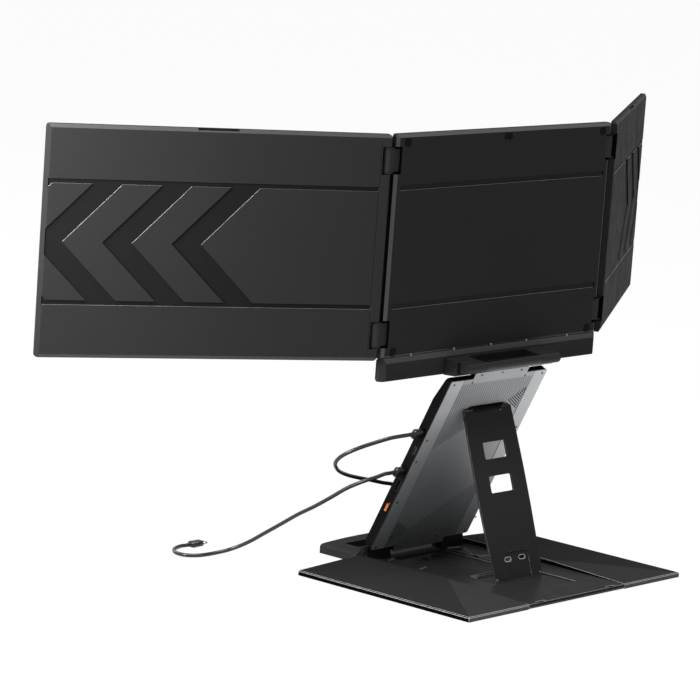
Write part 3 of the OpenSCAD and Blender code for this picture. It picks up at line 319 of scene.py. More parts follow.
class Finish:
    """A material under construction: a principled shader and what feeds it"""

    def __init__(self, name, metallic=0.0, roughness=0.5, coat=0.0, specular=0.5):
        self.material = bpy.data.materials.new(name)
        self.material.use_nodes = True
        tree = self.material.node_tree
        self.nodes, self.links = tree.nodes, tree.links
        self.shader = self.nodes["Principled BSDF"]
        self.shader.inputs["Metallic"].default_value = metallic
        self.shader.inputs["Roughness"].default_value = roughness
        self.shader.inputs["Coat Weight"].default_value = coat
        self.shader.inputs["Coat Roughness"].default_value = 0.15
        self.shader.inputs["Specular IOR Level"].default_value = specular
        self.place = self.add("ShaderNodeTexCoord").outputs["Object"]

    def add(self, kind, **settings):
        node = self.nodes.new(kind)
        for name, value in settings.items():
            setattr(node, name, value)
        return node

    def feed(self, socket, value):
        if isinstance(value, bpy.types.NodeSocket):
            self.links.new(value, socket)
        else:
            socket.default_value = value

    def noise(self, scale, detail=2.0, rough=0.5, place=None):
        node = self.add("ShaderNodeTexNoise")
        self.feed(node.inputs["Vector"], place or self.place)
        self.feed(node.inputs["Scale"], scale)
        self.feed(node.inputs["Detail"], detail)
        self.feed(node.inputs["Roughness"], rough)
        return node.outputs["Fac"]

    def spread(self, value, low, high, start=0.3, end=0.7):
        node = self.add("ShaderNodeMapRange")
        amounts = {"Value": value, "From Min": start, "From Max": end, "To Min": low, "To Max": high}
        for name, amount in amounts.items():
            self.feed(node.inputs[name], amount)
        return node.outputs["Result"]

    def math(self, operation, first, second=0.0, third=0.0):
        node = self.add("ShaderNodeMath", operation=operation)
        for socket, value in zip(node.inputs, (first, second, third)):
            self.feed(socket, value)
        return node.outputs["Value"]

    def blend(self, factor, first, second):
        node = self.add("ShaderNodeMix", data_type="RGBA")
        self.feed(node.inputs["Factor"], factor)
        self.feed(node.inputs["A"], (*first, 1.0) if isinstance(first, (tuple, list)) else first)
        self.feed(node.inputs["B"], (*second, 1.0) if isinstance(second, (tuple, list)) else second)
        return node.outputs["Result"]

    def scaled(self, colour, low, high, value):
        """The colour between low and high times its strength, by value"""
        return self.blend(value, times(colour, low), times(colour, high))

    def bump(self, height, distance, strength=1.0, below=None):
        node = self.add("ShaderNodeBump")
        self.feed(node.inputs["Height"], height)
        self.feed(node.inputs["Distance"], distance)
        self.feed(node.inputs["Strength"], strength)
        if below is not None:
            self.feed(node.inputs["Normal"], below)
        return node.outputs["Normal"]

    def surface(self, colour=None, roughness=None, normal=None):
        for name, value in (("Base Color", colour), ("Roughness", roughness), ("Normal", normal)):
            if value is not None:
                self.feed(self.shader.inputs[name], value)
        return self.material


def mat(name, maker, *words):
    """The finish of that name, which its maker makes on its first use"""
    own = name + "_finish"
    return bpy.data.materials.get(own) or maker(own, *words)


def moulded(name, colour, roughness, grain, specular=0.003):
    f = Finish(name, roughness=roughness, specular=specular)
    drift = f.noise(5.0, 3.0)
    fine = f.noise(1100.0, 3.0, 0.65)
    tone = f.scaled(colour, 0.88, 1.14, drift)
    tone = f.blend(f.spread(fine, 0.0, 0.30), tone, times(colour, 1.9))
    rough = f.spread(f.noise(60.0), roughness - 0.05, roughness + 0.05)
    return f.surface(tone, rough, f.bump(fine, grain, 0.6))


def painted(name, colour, roughness, grain):
    f = Finish(name, roughness=roughness, specular=0.02)
    fine = f.noise(1300.0, 3.0, 0.6)
    tone = f.scaled(colour, 0.88, 1.15, f.noise(12.0, 3.0))
    rough = f.spread(f.noise(90.0), roughness - 0.06, roughness + 0.04)
    return f.surface(tone, rough, f.bump(fine, grain, 0.5))


# Painted highlight: a light colour for rounded edges and for walls that face the light, varied at random
def painted_highlight(name, colour, roughness):
    f = Finish(name, roughness=roughness, specular=0.8)
    worn = f.noise(220.0, 4.0, 0.7)
    tone = f.scaled(colour, 0.75, 1.2, worn)
    return f.surface(tone, f.spread(worn, roughness - 0.06, roughness + 0.10))


def turned_steel(name, colour, roughness):
    f = Finish(name, metallic=1.0, roughness=roughness)
    stretch = f.add("ShaderNodeMapping")
    f.feed(stretch.inputs["Vector"], f.place)
    stretch.inputs["Scale"].default_value = (120.0, 1800.0, 1800.0)
    lines = f.noise(1.0, 2.0, 0.6, stretch.outputs["Vector"])
    rough = f.spread(lines, roughness - 0.08, roughness + 0.12)
    return f.surface(f.scaled(colour, 0.8, 1.1, lines), rough, f.bump(lines, 0.00001, 0.5))


def gloss_plastic(name, colour, roughness, specular=0.35):
    f = Finish(name, roughness=roughness, coat=specular * 0.4, specular=specular)
    swirl = f.noise(45.0, 3.0)
    rough = f.spread(swirl, roughness - 0.04, roughness + 0.08)
    return f.surface(f.scaled(colour, 0.85, 1.2, swirl), rough, f.bump(f.noise(500.0), 0.00001, 0.3))


def rubber(name, colour):
    f = Finish(name, roughness=0.75, specular=0.3)
    pores = f.noise(900.0, 4.0, 0.7)
    tone = f.scaled(colour, 0.8, 1.25, pores)
    return f.surface(tone, f.spread(pores, 0.68, 0.85), f.bump(pores, 0.00006, 0.7))


def hub_plate(name, colour):
    f = Finish(name, metallic=0.75, roughness=0.42)
    local = f.add("ShaderNodeMapping", vector_type="TEXTURE")
    f.feed(local.inputs["Vector"], f.place)
    local.inputs["Location"].default_value = HUB_HINGE
    local.inputs["Rotation"].default_value = (-HUB_LEAN, 0.0, 0.0)
    split = f.add("ShaderNodeSeparateXYZ")
    f.feed(split.inputs["Vector"], local.outputs["Vector"])
    x, z = split.outputs["X"], split.outputs["Z"]
    beside = f.math("ABSOLUTE", x)
    # dots stand in rows turned by 45 degrees
    across = f.math("MULTIPLY", f.math("ADD", x, z), math.pi / DOT_PITCH)
    along = f.math("MULTIPLY", f.math("SUBTRACT", x, z), math.pi / DOT_PITCH)
    wave = f.math("MULTIPLY", f.math("SINE", across), f.math("SINE", along))
    dots = f.spread(f.math("ABSOLUTE", wave), 0.0, 1.0, 0.30, 0.55)
    # the fields that they fill
    rise = f.math("ADD", z, f.math("MULTIPLY", x, BAND_SLOPE))
    below = f.spread(rise, 1.0, 0.0, *LOWER_FIELD_END)
    above = f.spread(rise, 0.0, 1.0, *UPPER_FIELD_START)
    inside = f.spread(beside, 1.0, 0.0, *FIELD_SIDE)
    under = f.spread(z, 1.0, 0.0, *FIELD_TOP)
    field = f.math("MULTIPLY", f.math("MULTIPLY", f.math("MAXIMUM", below, above), inside), under)
    mask = f.math("MULTIPLY", dots, field)
    past_start = f.spread(beside, 0.0, 1.0, *RIM_LINE_START)
    before_end = f.spread(beside, 1.0, 0.0, *RIM_LINE_END)
    rim = f.math("MULTIPLY", past_start, before_end)
    # the plate itself, darker between the strips and darkest in the dots and along the rim
    grain = f.noise(900.0, 2.0)
    tone = f.scaled(colour, 0.90, 1.08, f.noise(9.0, 3.0))
    tone = f.blend(f.math("MULTIPLY", inside, 0.45), tone, times(colour, 0.45))
    dark = f.math("MAXIMUM", f.math("MULTIPLY", mask, 0.85), f.math("MULTIPLY", rim, 0.8))
    tone = f.blend(dark, tone, times(colour, 0.22))
    relief = f.bump(mask, 0.00015, 0.6, f.bump(grain, 0.00001, 0.4))
    return f.surface(tone, f.spread(grain, 0.38, 0.52), relief)


def cable_sheath(name, colour):
    f = Finish(name, roughness=0.34, coat=0.25)
    ripple = f.noise(700.0, 3.0, 0.6)
    tone = f.scaled(colour, 0.8, 1.3, f.noise(60.0, 2.0))
    return f.surface(tone, f.spread(ripple, 0.26, 0.42), f.bump(ripple, 0.00002, 0.5))


def display_glass(name):
    f = Finish(name, roughness=0.12, coat=0.4)
    glow = f.noise(2.5, 2.0)
    tone = f.blend(glow, (0.006, 0.007, 0.010), (0.012, 0.014, 0.020))
    return f.surface(tone, f.spread(f.noise(300.0), 0.10, 0.16))


def solder_mask(name):
    f = Finish(name, roughness=0.35)
    tracks = f.add("ShaderNodeTexBrick")
    f.feed(tracks.inputs["Vector"], f.place)
    tracks.inputs["Scale"].default_value = 120.0
    tracks.inputs["Color1"].default_value = (0.012, 0.075, 0.03, 1.0)
    tracks.inputs["Color2"].default_value = (0.015, 0.09, 0.036, 1.0)
    tracks.inputs["Mortar"].default_value = (0.03, 0.14, 0.06, 1.0)
    return f.surface(tracks.outputs["Color"], None, f.bump(tracks.outputs["Fac"], 0.00003, 0.5))


def finishes():
    """Every finish of the object by its name"""
    looks = bpy.context.scene.extender_finishes
    makers = {
        "screen_shell": (moulded, tuple(looks.shell), 0.46, looks.grain),
        # Painted shade: the shell at half its colour for the wing's sunk recess
        "recess_shell": (moulded, times(looks.shell, 0.50), 0.42, looks.grain),
        # Painted highlight: lit copies of the shell, 2.6 and 4 times as light, for chamfers and walls that
        # face the light
        "chamfer_shell": (moulded, times(looks.shell, 2.6), 0.42, looks.grain),
        "pale_chamfer": (moulded, times(looks.shell, 4.0), 0.42, looks.grain),
        # Painted shade: the hub cover's sides are near black, though the cover is light metal
        "cover_edge": (painted, (0.020, 0.020, 0.021), 0.45, looks.grain * 0.3),
        # Painted highlight: a light colour for the walls of grooves and chevrons that face up
        "wall_shell": (painted_highlight, (0.24, 0.24, 0.245), 0.35),
        # Painted shade: near black for grooves, hinge pockets, cut-outs and walls that face away from the
        # light
        "pocket_shell": (moulded, (0.0022, 0.0022, 0.0022), 0.5, looks.grain),
        "middle_shell": (moulded, tuple(looks.middle), 0.46, looks.grain),
        "base_shell": (moulded, times(looks.base, 0.92), 0.40, looks.grain, 0.0),
        # Painted light and shade on the base wings: a lit copy for tops tilted to the rear, a lit rim where
        # it faces the rear, a near black rim elsewhere
        "facet_shell": (moulded, times(looks.base, 1.3), 0.40, looks.grain, 0.0),
        "rim_black": (moulded, (0.0016, 0.0016, 0.0016), 0.45, looks.grain, 0.0),
        "rim_grey": (moulded, (0.048, 0.048, 0.049), 0.45, looks.grain, 0.0),
        "deck_shell": (moulded, times(looks.base, 0.85), 0.30, looks.grain * 0.3, 0.006),
        # Painted highlight: the tongue is the base colour made half again as light, a lit copy of it
        "tongue_shell": (moulded, times(looks.base, 1.5), 0.42, looks.grain, 0.0),
        "hub_shell": (moulded, (0.006, 0.006, 0.0065), 0.36, looks.grain * 0.6),
        "base_sheet": (painted, (0.018, 0.018, 0.018), 0.5, looks.grain),
        "bracket_metal": (painted, (0.011, 0.011, 0.0115), 0.34, looks.grain),
        "catch_metal": (painted, (0.07, 0.07, 0.072), 0.35, looks.grain),
        "kickstand_metal": (painted, tuple(looks.stand), 0.44, looks.grain),
        "arm_metal": (gloss_plastic, (0.011, 0.011, 0.0115), 0.28, 0.10),
        "hinge_metal": (painted, (0.019, 0.019, 0.0195), 0.36, looks.grain * 0.5),
        "pin_steel": (turned_steel, (0.62, 0.62, 0.63), 0.28),
        "socket_metal": (turned_steel, (0.16, 0.16, 0.17), 0.40),
        "dark_socket": (gloss_plastic, (0.006, 0.006, 0.006), 0.42),
        "small_screw": (turned_steel, (0.22, 0.22, 0.23), 0.36),
        "barrel_black": (gloss_plastic, (0.0035, 0.0035, 0.004), 0.16, 0.20),
        "switch_orange": (gloss_plastic, tuple(looks.switch), 0.38),
        "screen_bezel": (moulded, (0.008, 0.008, 0.008), 0.5, looks.grain * 0.5),
        "screen_panel": (display_glass,),
        "circuit_board": (solder_mask,),
        "hub_plate": (hub_plate, tuple(looks.plate)),
        "pad_rubber": (rubber, (0.02, 0.02, 0.02)),
        "screw_black": (painted, (0.012, 0.012, 0.013), 0.32, 0.00002),
        "cable_black": (cable_sheath, tuple(looks.cable)),
        "plug_black": (gloss_plastic, (0.0065, 0.0065, 0.007), 0.30),
        # Painted highlights on rounded edges
        "bright_edge": (painted_highlight, tuple(looks.edge), 0.30),
        "worn_edge": (painted_highlight, tuple(looks.worn), 0.25),
        "rim_edge": (painted_highlight, times(looks.worn, 0.5), 0.30),
        "seat_metal": (turned_steel, (0.42, 0.43, 0.44), 0.30),
        "pad_plastic": (moulded, (0.006, 0.006, 0.006), 0.42, 0.00002),
    }
    return {name: mat(name, *words) for name, words in makers.items()}


SLOT_OF = {part["node"]: part["material_slot"] for part in frame["record"]["subparts"]}
BODY_OF = {node: body for body, nodes in frame["record"]["behaviour"]["bodies"].items() for node in nodes}
# Nodes that look otherwise than the rest of their material slot
FINISH_OF = {
    "centre_back": "middle_shell", "chin_cover": "middle_shell", "large_socket": "dark_socket",
    "kickstand_rivet_left": "catch_metal", "kickstand_rivet_right": "catch_metal",
    "kickstand_clip": "hub_shell",
}
# Nodes with rounded edges in their own finish
USUAL_EDGES = (
    "centre_back", "left_wing_back", "right_wing_back", "hub_cover", "chin_cover", "tilt_arms",
    "hub_housing", "centre_bezel", "left_wing_bezel", "right_wing_bezel", "hub_bracket_left",
    "hub_bracket_right", "centre_hinges_left", "centre_hinges_right", "left_wing_hinges",
    "right_wing_hinges", "hub_barrel", "kickstand_clip", "foot_catch", "storage_hooks", "foot_rest",
)
# Nodes whose rounded edges carry a painted highlight, with their width against the usual one, and the edges
# whose painted highlight is another than the usual bright one
WIDER_EDGES = {
    "base_wing_left": 1.1, "base_wing_right": 1.1, "base_deck": 1.2, "tongue": 1.5, "kickstand": 2.0,
}
EDGE_FINISH_OF = {
    "kickstand": "worn_edge", "base_wing_left": "rim_edge", "base_wing_right": "rim_edge",
    "tongue": "rim_edge",
}


# ---------- shapes ----------

def linked(name, bm, materials):
    """An object in the scene from a bmesh"""
    mesh = bpy.data.meshes.new(name)
    bm.to_mesh(mesh)
    bm.free()
    for material in materials:
        mesh.materials.append(material)
    piece = bpy.data.objects.new(name, mesh)
    bpy.context.scene.collection.objects.link(piece)
    return piece


def piece_from(name, bm, body, materials):
    """A finished piece from a bmesh, with its body and its material slot where it has them"""
    bmesh.ops.recalc_face_normals(bm, faces=bm.faces)
    piece = linked(name, bm, materials)
    if body:
        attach(piece, body)
    return piece


def mark_sharp(bm, angle):
    for line in bm.edges:
        if len(line.link_faces) == 2 and line.calc_face_angle() > math.radians(angle):
            line.smooth = False
    return bm


def round_edges(piece, width):
    """Rounds a piece's sharp edges and gives the rounding the piece's second material"""
    rounding = piece.modifiers.new("rounded_edges", "BEVEL")
    rounding.width = width
    rounding.segments = 2
    rounding.limit_method = "ANGLE"
    rounding.angle_limit = math.radians(SHARP_ANGLE)
    rounding.harden_normals = True
    rounding.material = 1
    rounding.profile = 0.5


def wing_frame(side, axis_y, fold):
    """Frame of a wing with its origin at the lower inner corner of its rear face"""
    hinge = Matrix.Translation((HINGE_X, axis_y, SCREEN_FOOT)) @ Matrix.Rotation(math.radians(-fold), 4, "Z")
    corner = Matrix.Translation((WING_INSET, SCREEN_REAR - axis_y, 0.0))
    return Matrix.Diagonal((side, 1.0, 1.0, 1.0)) @ hinge @ corner


WING_OF = {
    "left_wing_back": wing_frame(1.0, LEFT_AXIS_Y, LEFT_FOLD),
    "right_wing_back": wing_frame(-1.0, RIGHT_AXIS_Y, RIGHT_FOLD),
}


def centre_finish(spot, turn):
    """The finish of a face of the middle screen's back, with painted highlights and painted shade by the way
    it faces
    """
    # Painted highlight on the chamfers that face the rear and to a side, up or down
    if max(abs(turn.x), abs(turn.z)) > CLEARLY and turn.y > SLIGHTLY:
        return "pale_chamfer"
    # Painted highlight on the grooves' walls that face up, painted shade on those that face down
    if abs(turn.z) > STRAIGHT and abs(spot.x) < GROOVE_END and spot.y > SCREEN_REAR - GROOVE_DEPTH:
        return "wall_shell" if turn.z > 0.0 else "pocket_shell"
    beside_middle = abs(spot.z - SCREEN_FOOT - SCREEN_HEIGHT / 2)
    in_cutout = abs(spot.x) > CUTOUT_SIDE and beside_middle < CUTOUT_REACH
    # Painted shade on the faces in the hinges' cut-outs that don't face the rear
    return "pocket_shell" if turn.y < HALFWAY and in_cutout else None


def wing_finish(spot, turn):
    """The finish of a face of a wing's back, whose place and direction are those in the wing's frame, with
    painted highlights and painted shade by the way it faces
    """
    margin = min(spot.z, SCREEN_HEIGHT - spot.z)
    among_chevrons = CHEVRON_START < spot.x < WING_RIM and margin > CHEVRON_MARGIN
    if among_chevrons and abs(turn.y) < CLEARLY and spot.y > -GROOVE_DEPTH:
        # Painted highlight on the chevrons' walls that face up, in two strengths by their side, and painted
        # shade on the others
        if turn.z > SLIGHTLY:
            return "wall_shell" if turn.x > -SLIGHTLY else "chamfer_shell"
        return "pocket_shell"
    # Painted shade on the flat faces sunk in the recess
    if abs(turn.y) > STRAIGHT:
        in_recess = -RECESS_DEPTHS[1] < spot.y < -RECESS_DEPTHS[0] and CHAMFER < spot.x < WING_RIM
        return "recess_shell" if in_recess else None
    # Painted shade in the hinge pockets: near black in their depth and at their inner side, the shaded
    # recess colour elsewhere
    if HINGE_SIDE[0] < spot.x < HINGE_SIDE[1] and margin > CHAMFER:
        return "pocket_shell" if spot.y < -POCKET_DEPTH or spot.x < POCKET_SIDE else "recess_shell"
    # Painted highlight on the chamfers along the top and bottom that face the rear
    return "chamfer_shell" if turn.y > SLIGHTLY and margin < CHAMFER else None


def finish_name(node, face):
    """The finish of a face that looks otherwise than the rest of its piece, or None; most of these paint
    light or shade on a face by the way it faces
    """
    spot, turn = face.calc_center_median(), face.normal
    if node == "centre_back":
        return centre_finish(spot, turn)
    if node in WING_OF:
        wing = WING_OF[node].inverted()
        return wing_finish(wing @ spot, wing.to_3x3() @ turn)
    # Painted shade on the cover's sides
    if node == "hub_cover" and abs(turn.x) > HALFWAY:
        return "cover_edge"
    # Painted highlight on the chin's chamfers that face up and to the rear
    if node == "chin_cover" and turn.z > CLEARLY and turn.y > SLIGHTLY:
        return "chamfer_shell"
    # Painted highlight on the tops tilted to the rear and on the rims that face the rear, painted shade on
    # the other rims
    if node in ("base_wing_left", "base_wing_right"):
        if turn.z > STRAIGHT:
            return "facet_shell" if turn.y > BARELY else None
        return "rim_grey" if turn.y > HALFWAY else "rim_black"
    return None


def softened(node, width):
    """A copy of a rigid node with rounded edges, in the node's place"""
    looks = finishes()
    slot = SLOT_OF[node]
    finish = looks[FINISH_OF.get(node, slot)]
    bm = bmesh.new()
    bm.from_mesh(frame["nodes"][node].data)
    bmesh.ops.remove_doubles(bm, verts=bm.verts, dist=MERGE_DISTANCE)
    bmesh.ops.dissolve_limit(bm, angle_limit=math.radians(FLAT_ANGLE), verts=bm.verts, edges=bm.edges)
    materials = [finish, looks[EDGE_FINISH_OF.get(node, "bright_edge")] if node in WIDER_EDGES else finish]
    for face in bm.faces:
        face.smooth = True
        other = finish_name(node, face)
        if other and looks[other] not in materials:
            materials.append(looks[other])
        face.material_index = materials.index(looks[other]) if other else 0
    piece = linked(node + "_rounded", mark_sharp(bm, SHARP_ANGLE), materials)
    round_edges(piece, width)
    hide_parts(node)
    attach(piece, BODY_OF[node])


def dress(node):
    """Gives a node that keeps its own shape its finish"""
    mesh = frame["nodes"][node].data
    mesh.materials.clear()
    mesh.materials.append(finishes()[FINISH_OF.get(node, SLOT_OF[node])])


def curve_through(points, per_span):
    """Points of a smooth line through others"""
    last = len(points) - 1
    line = []
    for i in range(last):
        a, b = points[max(i - 1, 0)], points[i]
        c, d = points[i + 1], points[min(i + 2, last)]
        for k in range(per_span):
            t = k / per_span
            line.append(0.5 * (2 * b + (c - a) * t + (2 * a - 5 * b + 4 * c - d) * t * t
                               + (3 * b - a - 3 * c + d) * t * t * t))
    return line + [points[last]]


def metres(route):
    return [Vector(point) / MM_PER_METRE for point in route]


def cable_tube(line, sides):
    """A round tube along a line, with a closed face at each end"""
    bm = bmesh.new()
    ring = bmesh.ops.create_circle(bm, segments=sides, radius=CABLE_DIAMETER / 2, cap_ends=False)["verts"]
    heading = (line[1] - line[0]).normalized()
    turn = heading.to_track_quat("Z", "Y")
    bmesh.ops.transform(bm, matrix=Matrix.Translation(line[0]) @ turn.to_matrix().to_4x4(), verts=ring)
    rim = list(bm.edges)
    bmesh.ops.contextual_create(bm, geom=rim)
    for i in range(1, len(line)):
        after = line[min(i + 1, len(line) - 1)] - line[i - 1]
        made = bmesh.ops.extrude_edge_only(bm, edges=rim)["geom"]
        rim = [g for g in made if isinstance(g, bmesh.types.BMEdge)]
        verts = [g for g in made if isinstance(g, bmesh.types.BMVert)]
        swing = heading.rotation_difference(after.normalized()).to_matrix().to_4x4()
        step = Matrix.Translation(line[i]) @ swing @ Matrix.Translation(-line[i - 1])
        bmesh.ops.transform(bm, verts=verts, matrix=step)
        heading = after.normalized()
    bmesh.ops.contextual_create(bm, geom=rim)
    for face in bm.faces:
        face.smooth = len(face.verts) == 4
    return bm


def coil_line():
    """The wound part of the second cable: two layers of two turns, and out over the incoming cable"""
    line = []
    for (a, ra, za), (b, rb, zb) in zip(COIL_STOPS, COIL_STOPS[1:]):
        steps = max(2, round((b - a) / COIL_STEP))
        for k in range(steps):
            t = k / steps
            ease = t * t * (3 - 2 * t)
            angle, radius = math.radians(a + (b - a) * t), ra + (rb - ra) * ease
            across, along = radius * math.cos(angle), radius * math.sin(angle)
            height = za + (zb - za) * ease
            line.append(Vector((COIL_CENTRE[0] + across, COIL_CENTRE[1] + along, height)))
    return metres(line)


def spare_line():
    """The second cable: down to the table, through the coil, and out to its plug"""
    route, coil = metres(SPARE_ROUTE), coil_line()
    arc = curve_through(route, POINTS_PER_SPAN)[:-1]
    joint = curve_through([arc[-1], route[-1], coil[0]], POINTS_BEFORE_COIL)
    tail = curve_through([coil[-1]] + metres(SPARE_END), POINTS_PER_SPAN)
    return arc[:-1] + joint[:-1] + coil + tail[1:]


def turned(profile, sides):
    """A round shape about z from the radii and heights of its profile"""
    bm = bmesh.new()
    points = [bm.verts.new((radius, 0.0, height)) for radius, height in profile]
    lines = [bm.edges.new(pair) for pair in zip(points, points[1:])]
    bmesh.ops.spin(bm, geom=points + lines, cent=(0, 0, 0), axis=(0, 0, 1), dvec=(0, 0, 0),
                   angle=2 * math.pi, steps=sides, use_merge=True)
    bmesh.ops.remove_doubles(bm, verts=bm.verts, dist=SEAM_DISTANCE)
    for face in bm.faces:
        face.smooth = True
    return bm


def plate(width, height, corner):
    """A flat rectangle in the xy plane with rounded corners"""
    bm = bmesh.new()
    bmesh.ops.create_grid(bm, x_segments=1, y_segments=1, size=0.5)
    bmesh.ops.scale(bm, vec=(width, height, 1.0), verts=bm.verts)
    bmesh.ops.bevel(bm, geom=list(bm.verts), offset=corner, segments=5, affect="VERTICES", profile=0.5,
                    material=-1)
    return bm


def slot_ring(bm, width, height, z):
    """The points of an outline with round ends at height z, in order"""
    radius, ring = min(width, height) / 2, []
    for i in range(RING_POINTS):
        angle = (i + 0.5) * 2 * math.pi / RING_POINTS
        x, y = radius * math.cos(angle), radius * math.sin(angle)
        ring.append(bm.verts.new((x + math.copysign(max(width - height, 0.0) / 2, x), y, z)))
    return ring


def skin(bm, first, second):
    """The faces between two rings of as many points"""
    for i, point in enumerate(first):
        bm.faces.new((first[i - 1], point, second[i], second[i - 1]))


def lofted(sections):
    """A closed shape through cross-sections with round ends, whose sizes are in millimetres"""
    bm = bmesh.new()
    rings = [slot_ring(bm, *(size / MM_PER_METRE for size in section)) for section in sections]
    for first, second in zip(rings, rings[1:]):
        skin(bm, first, second)
    for face in bm.faces:
        face.smooth = True
    bm.faces.new(rings[0])
    bm.faces.new(rings[-1])
    return mark_sharp(bm, PLUG_SHARP_ANGLE)


def slot_lining(outer, inner, low, high):
    """A thin closed lining between two outlines with round ends"""
    bm = bmesh.new()
    outline = ((outer, low), (outer, high), (inner, high), (inner, low))
    rings = [slot_ring(bm, *size, z) for size, z in outline]
    for first, second in zip(rings, rings[1:] + rings[:1]):
        skin(bm, first, second)
    return bm


def raised(bm, depth, soft):
    """Extrudes a flat face by a depth and softens the new rim"""
    top = bmesh.ops.extrude_face_region(bm, geom=list(bm.faces))["geom"]
    verts = [g for g in top if isinstance(g, bmesh.types.BMVert)]
    bmesh.ops.translate(bm, verts=verts, vec=(0.0, 0.0, depth))
    rim = [e for e in bm.edges if all(v in verts for v in e.verts)]
    bmesh.ops.bevel(bm, geom=rim, offset=soft, segments=2, affect="EDGES", profile=0.5, material=-1)
    return bm


def placed(bm, matrix):
    bmesh.ops.transform(bm, matrix=matrix, verts=bm.verts)
    return bm


def gather(parts):
    """One bmesh out of several"""
    whole = bmesh.new()
    for part in parts:
        mesh = bpy.data.meshes.new("gathered")
        part.to_mesh(mesh)
        part.free()
        whole.from_mesh(mesh)
        bpy.data.meshes.remove(mesh)
    return whole


def rearward(x, y, z):
    """The place of a shape that is made looking up and looks to the rear in the end"""
    return Matrix.Translation((x, y, z)) @ Matrix.Rotation(math.radians(-90.0), 4, "X")


def screw_head(radius, height):
    """A low domed screw head with a socket"""
    shank = [(radius, -SHANK * radius), (0.0, -SHANK * radius)]
    bm = turned([(across * radius, up * height) for across, up in SCREW_DOME] + shank, SCREW_SIDES)
    floor = SCREW_DOME[0][1] * height
    on_floor = [v for v in bm.verts if abs(v.co.z - floor) < SEAM_DISTANCE]
    corners = [v for v in on_floor if v.co.length > AXIS_DISTANCE]
    for i, point in enumerate(sorted(corners, key=lambda v: math.atan2(v.co.y, v.co.x))):
        if i % 2:
            point.co.x *= SOCKET_FLUTE
            point.co.y *= SOCKET_FLUTE
    return bm


def seat_ring(inner, outer, height):
    """A thin bright ring round a screw"""
    crown = (0.5 * (inner + outer), SEAT_CROWN * height)
    return turned([(inner, 0.0), (inner, height), crown, (outer, 0.0)], SCREW_SIDES)


def moulded_plug(node, place):
    """A plug in a node's place, pointing along -x from its mouth, with its wide side along z"""
    looks = finishes()
    tip, body = lofted(PLUG_TIP), lofted(PLUG_BODY)
    for face in body.faces:
        face.material_index = 1
    whole = placed(gather([tip, body]), place @ Matrix.Rotation(math.radians(90.0), 4, "Y"))
    piece = piece_from(node + "_moulded", whole, BODY_OF[node],
                       [looks["pin_steel"], looks["plug_black"]])
    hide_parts(node)
    return piece


def lying_plug(node, end):
    """A plug that lies on the table at the end of a cable"""
    mouth = Matrix.Translation((end.x - LYING_REACH, end.y, LYING_HEIGHT))
    return moulded_plug(node, mouth @ Matrix.Rotation(math.radians(90.0), 4, "X"))


# ---------- operators ----------

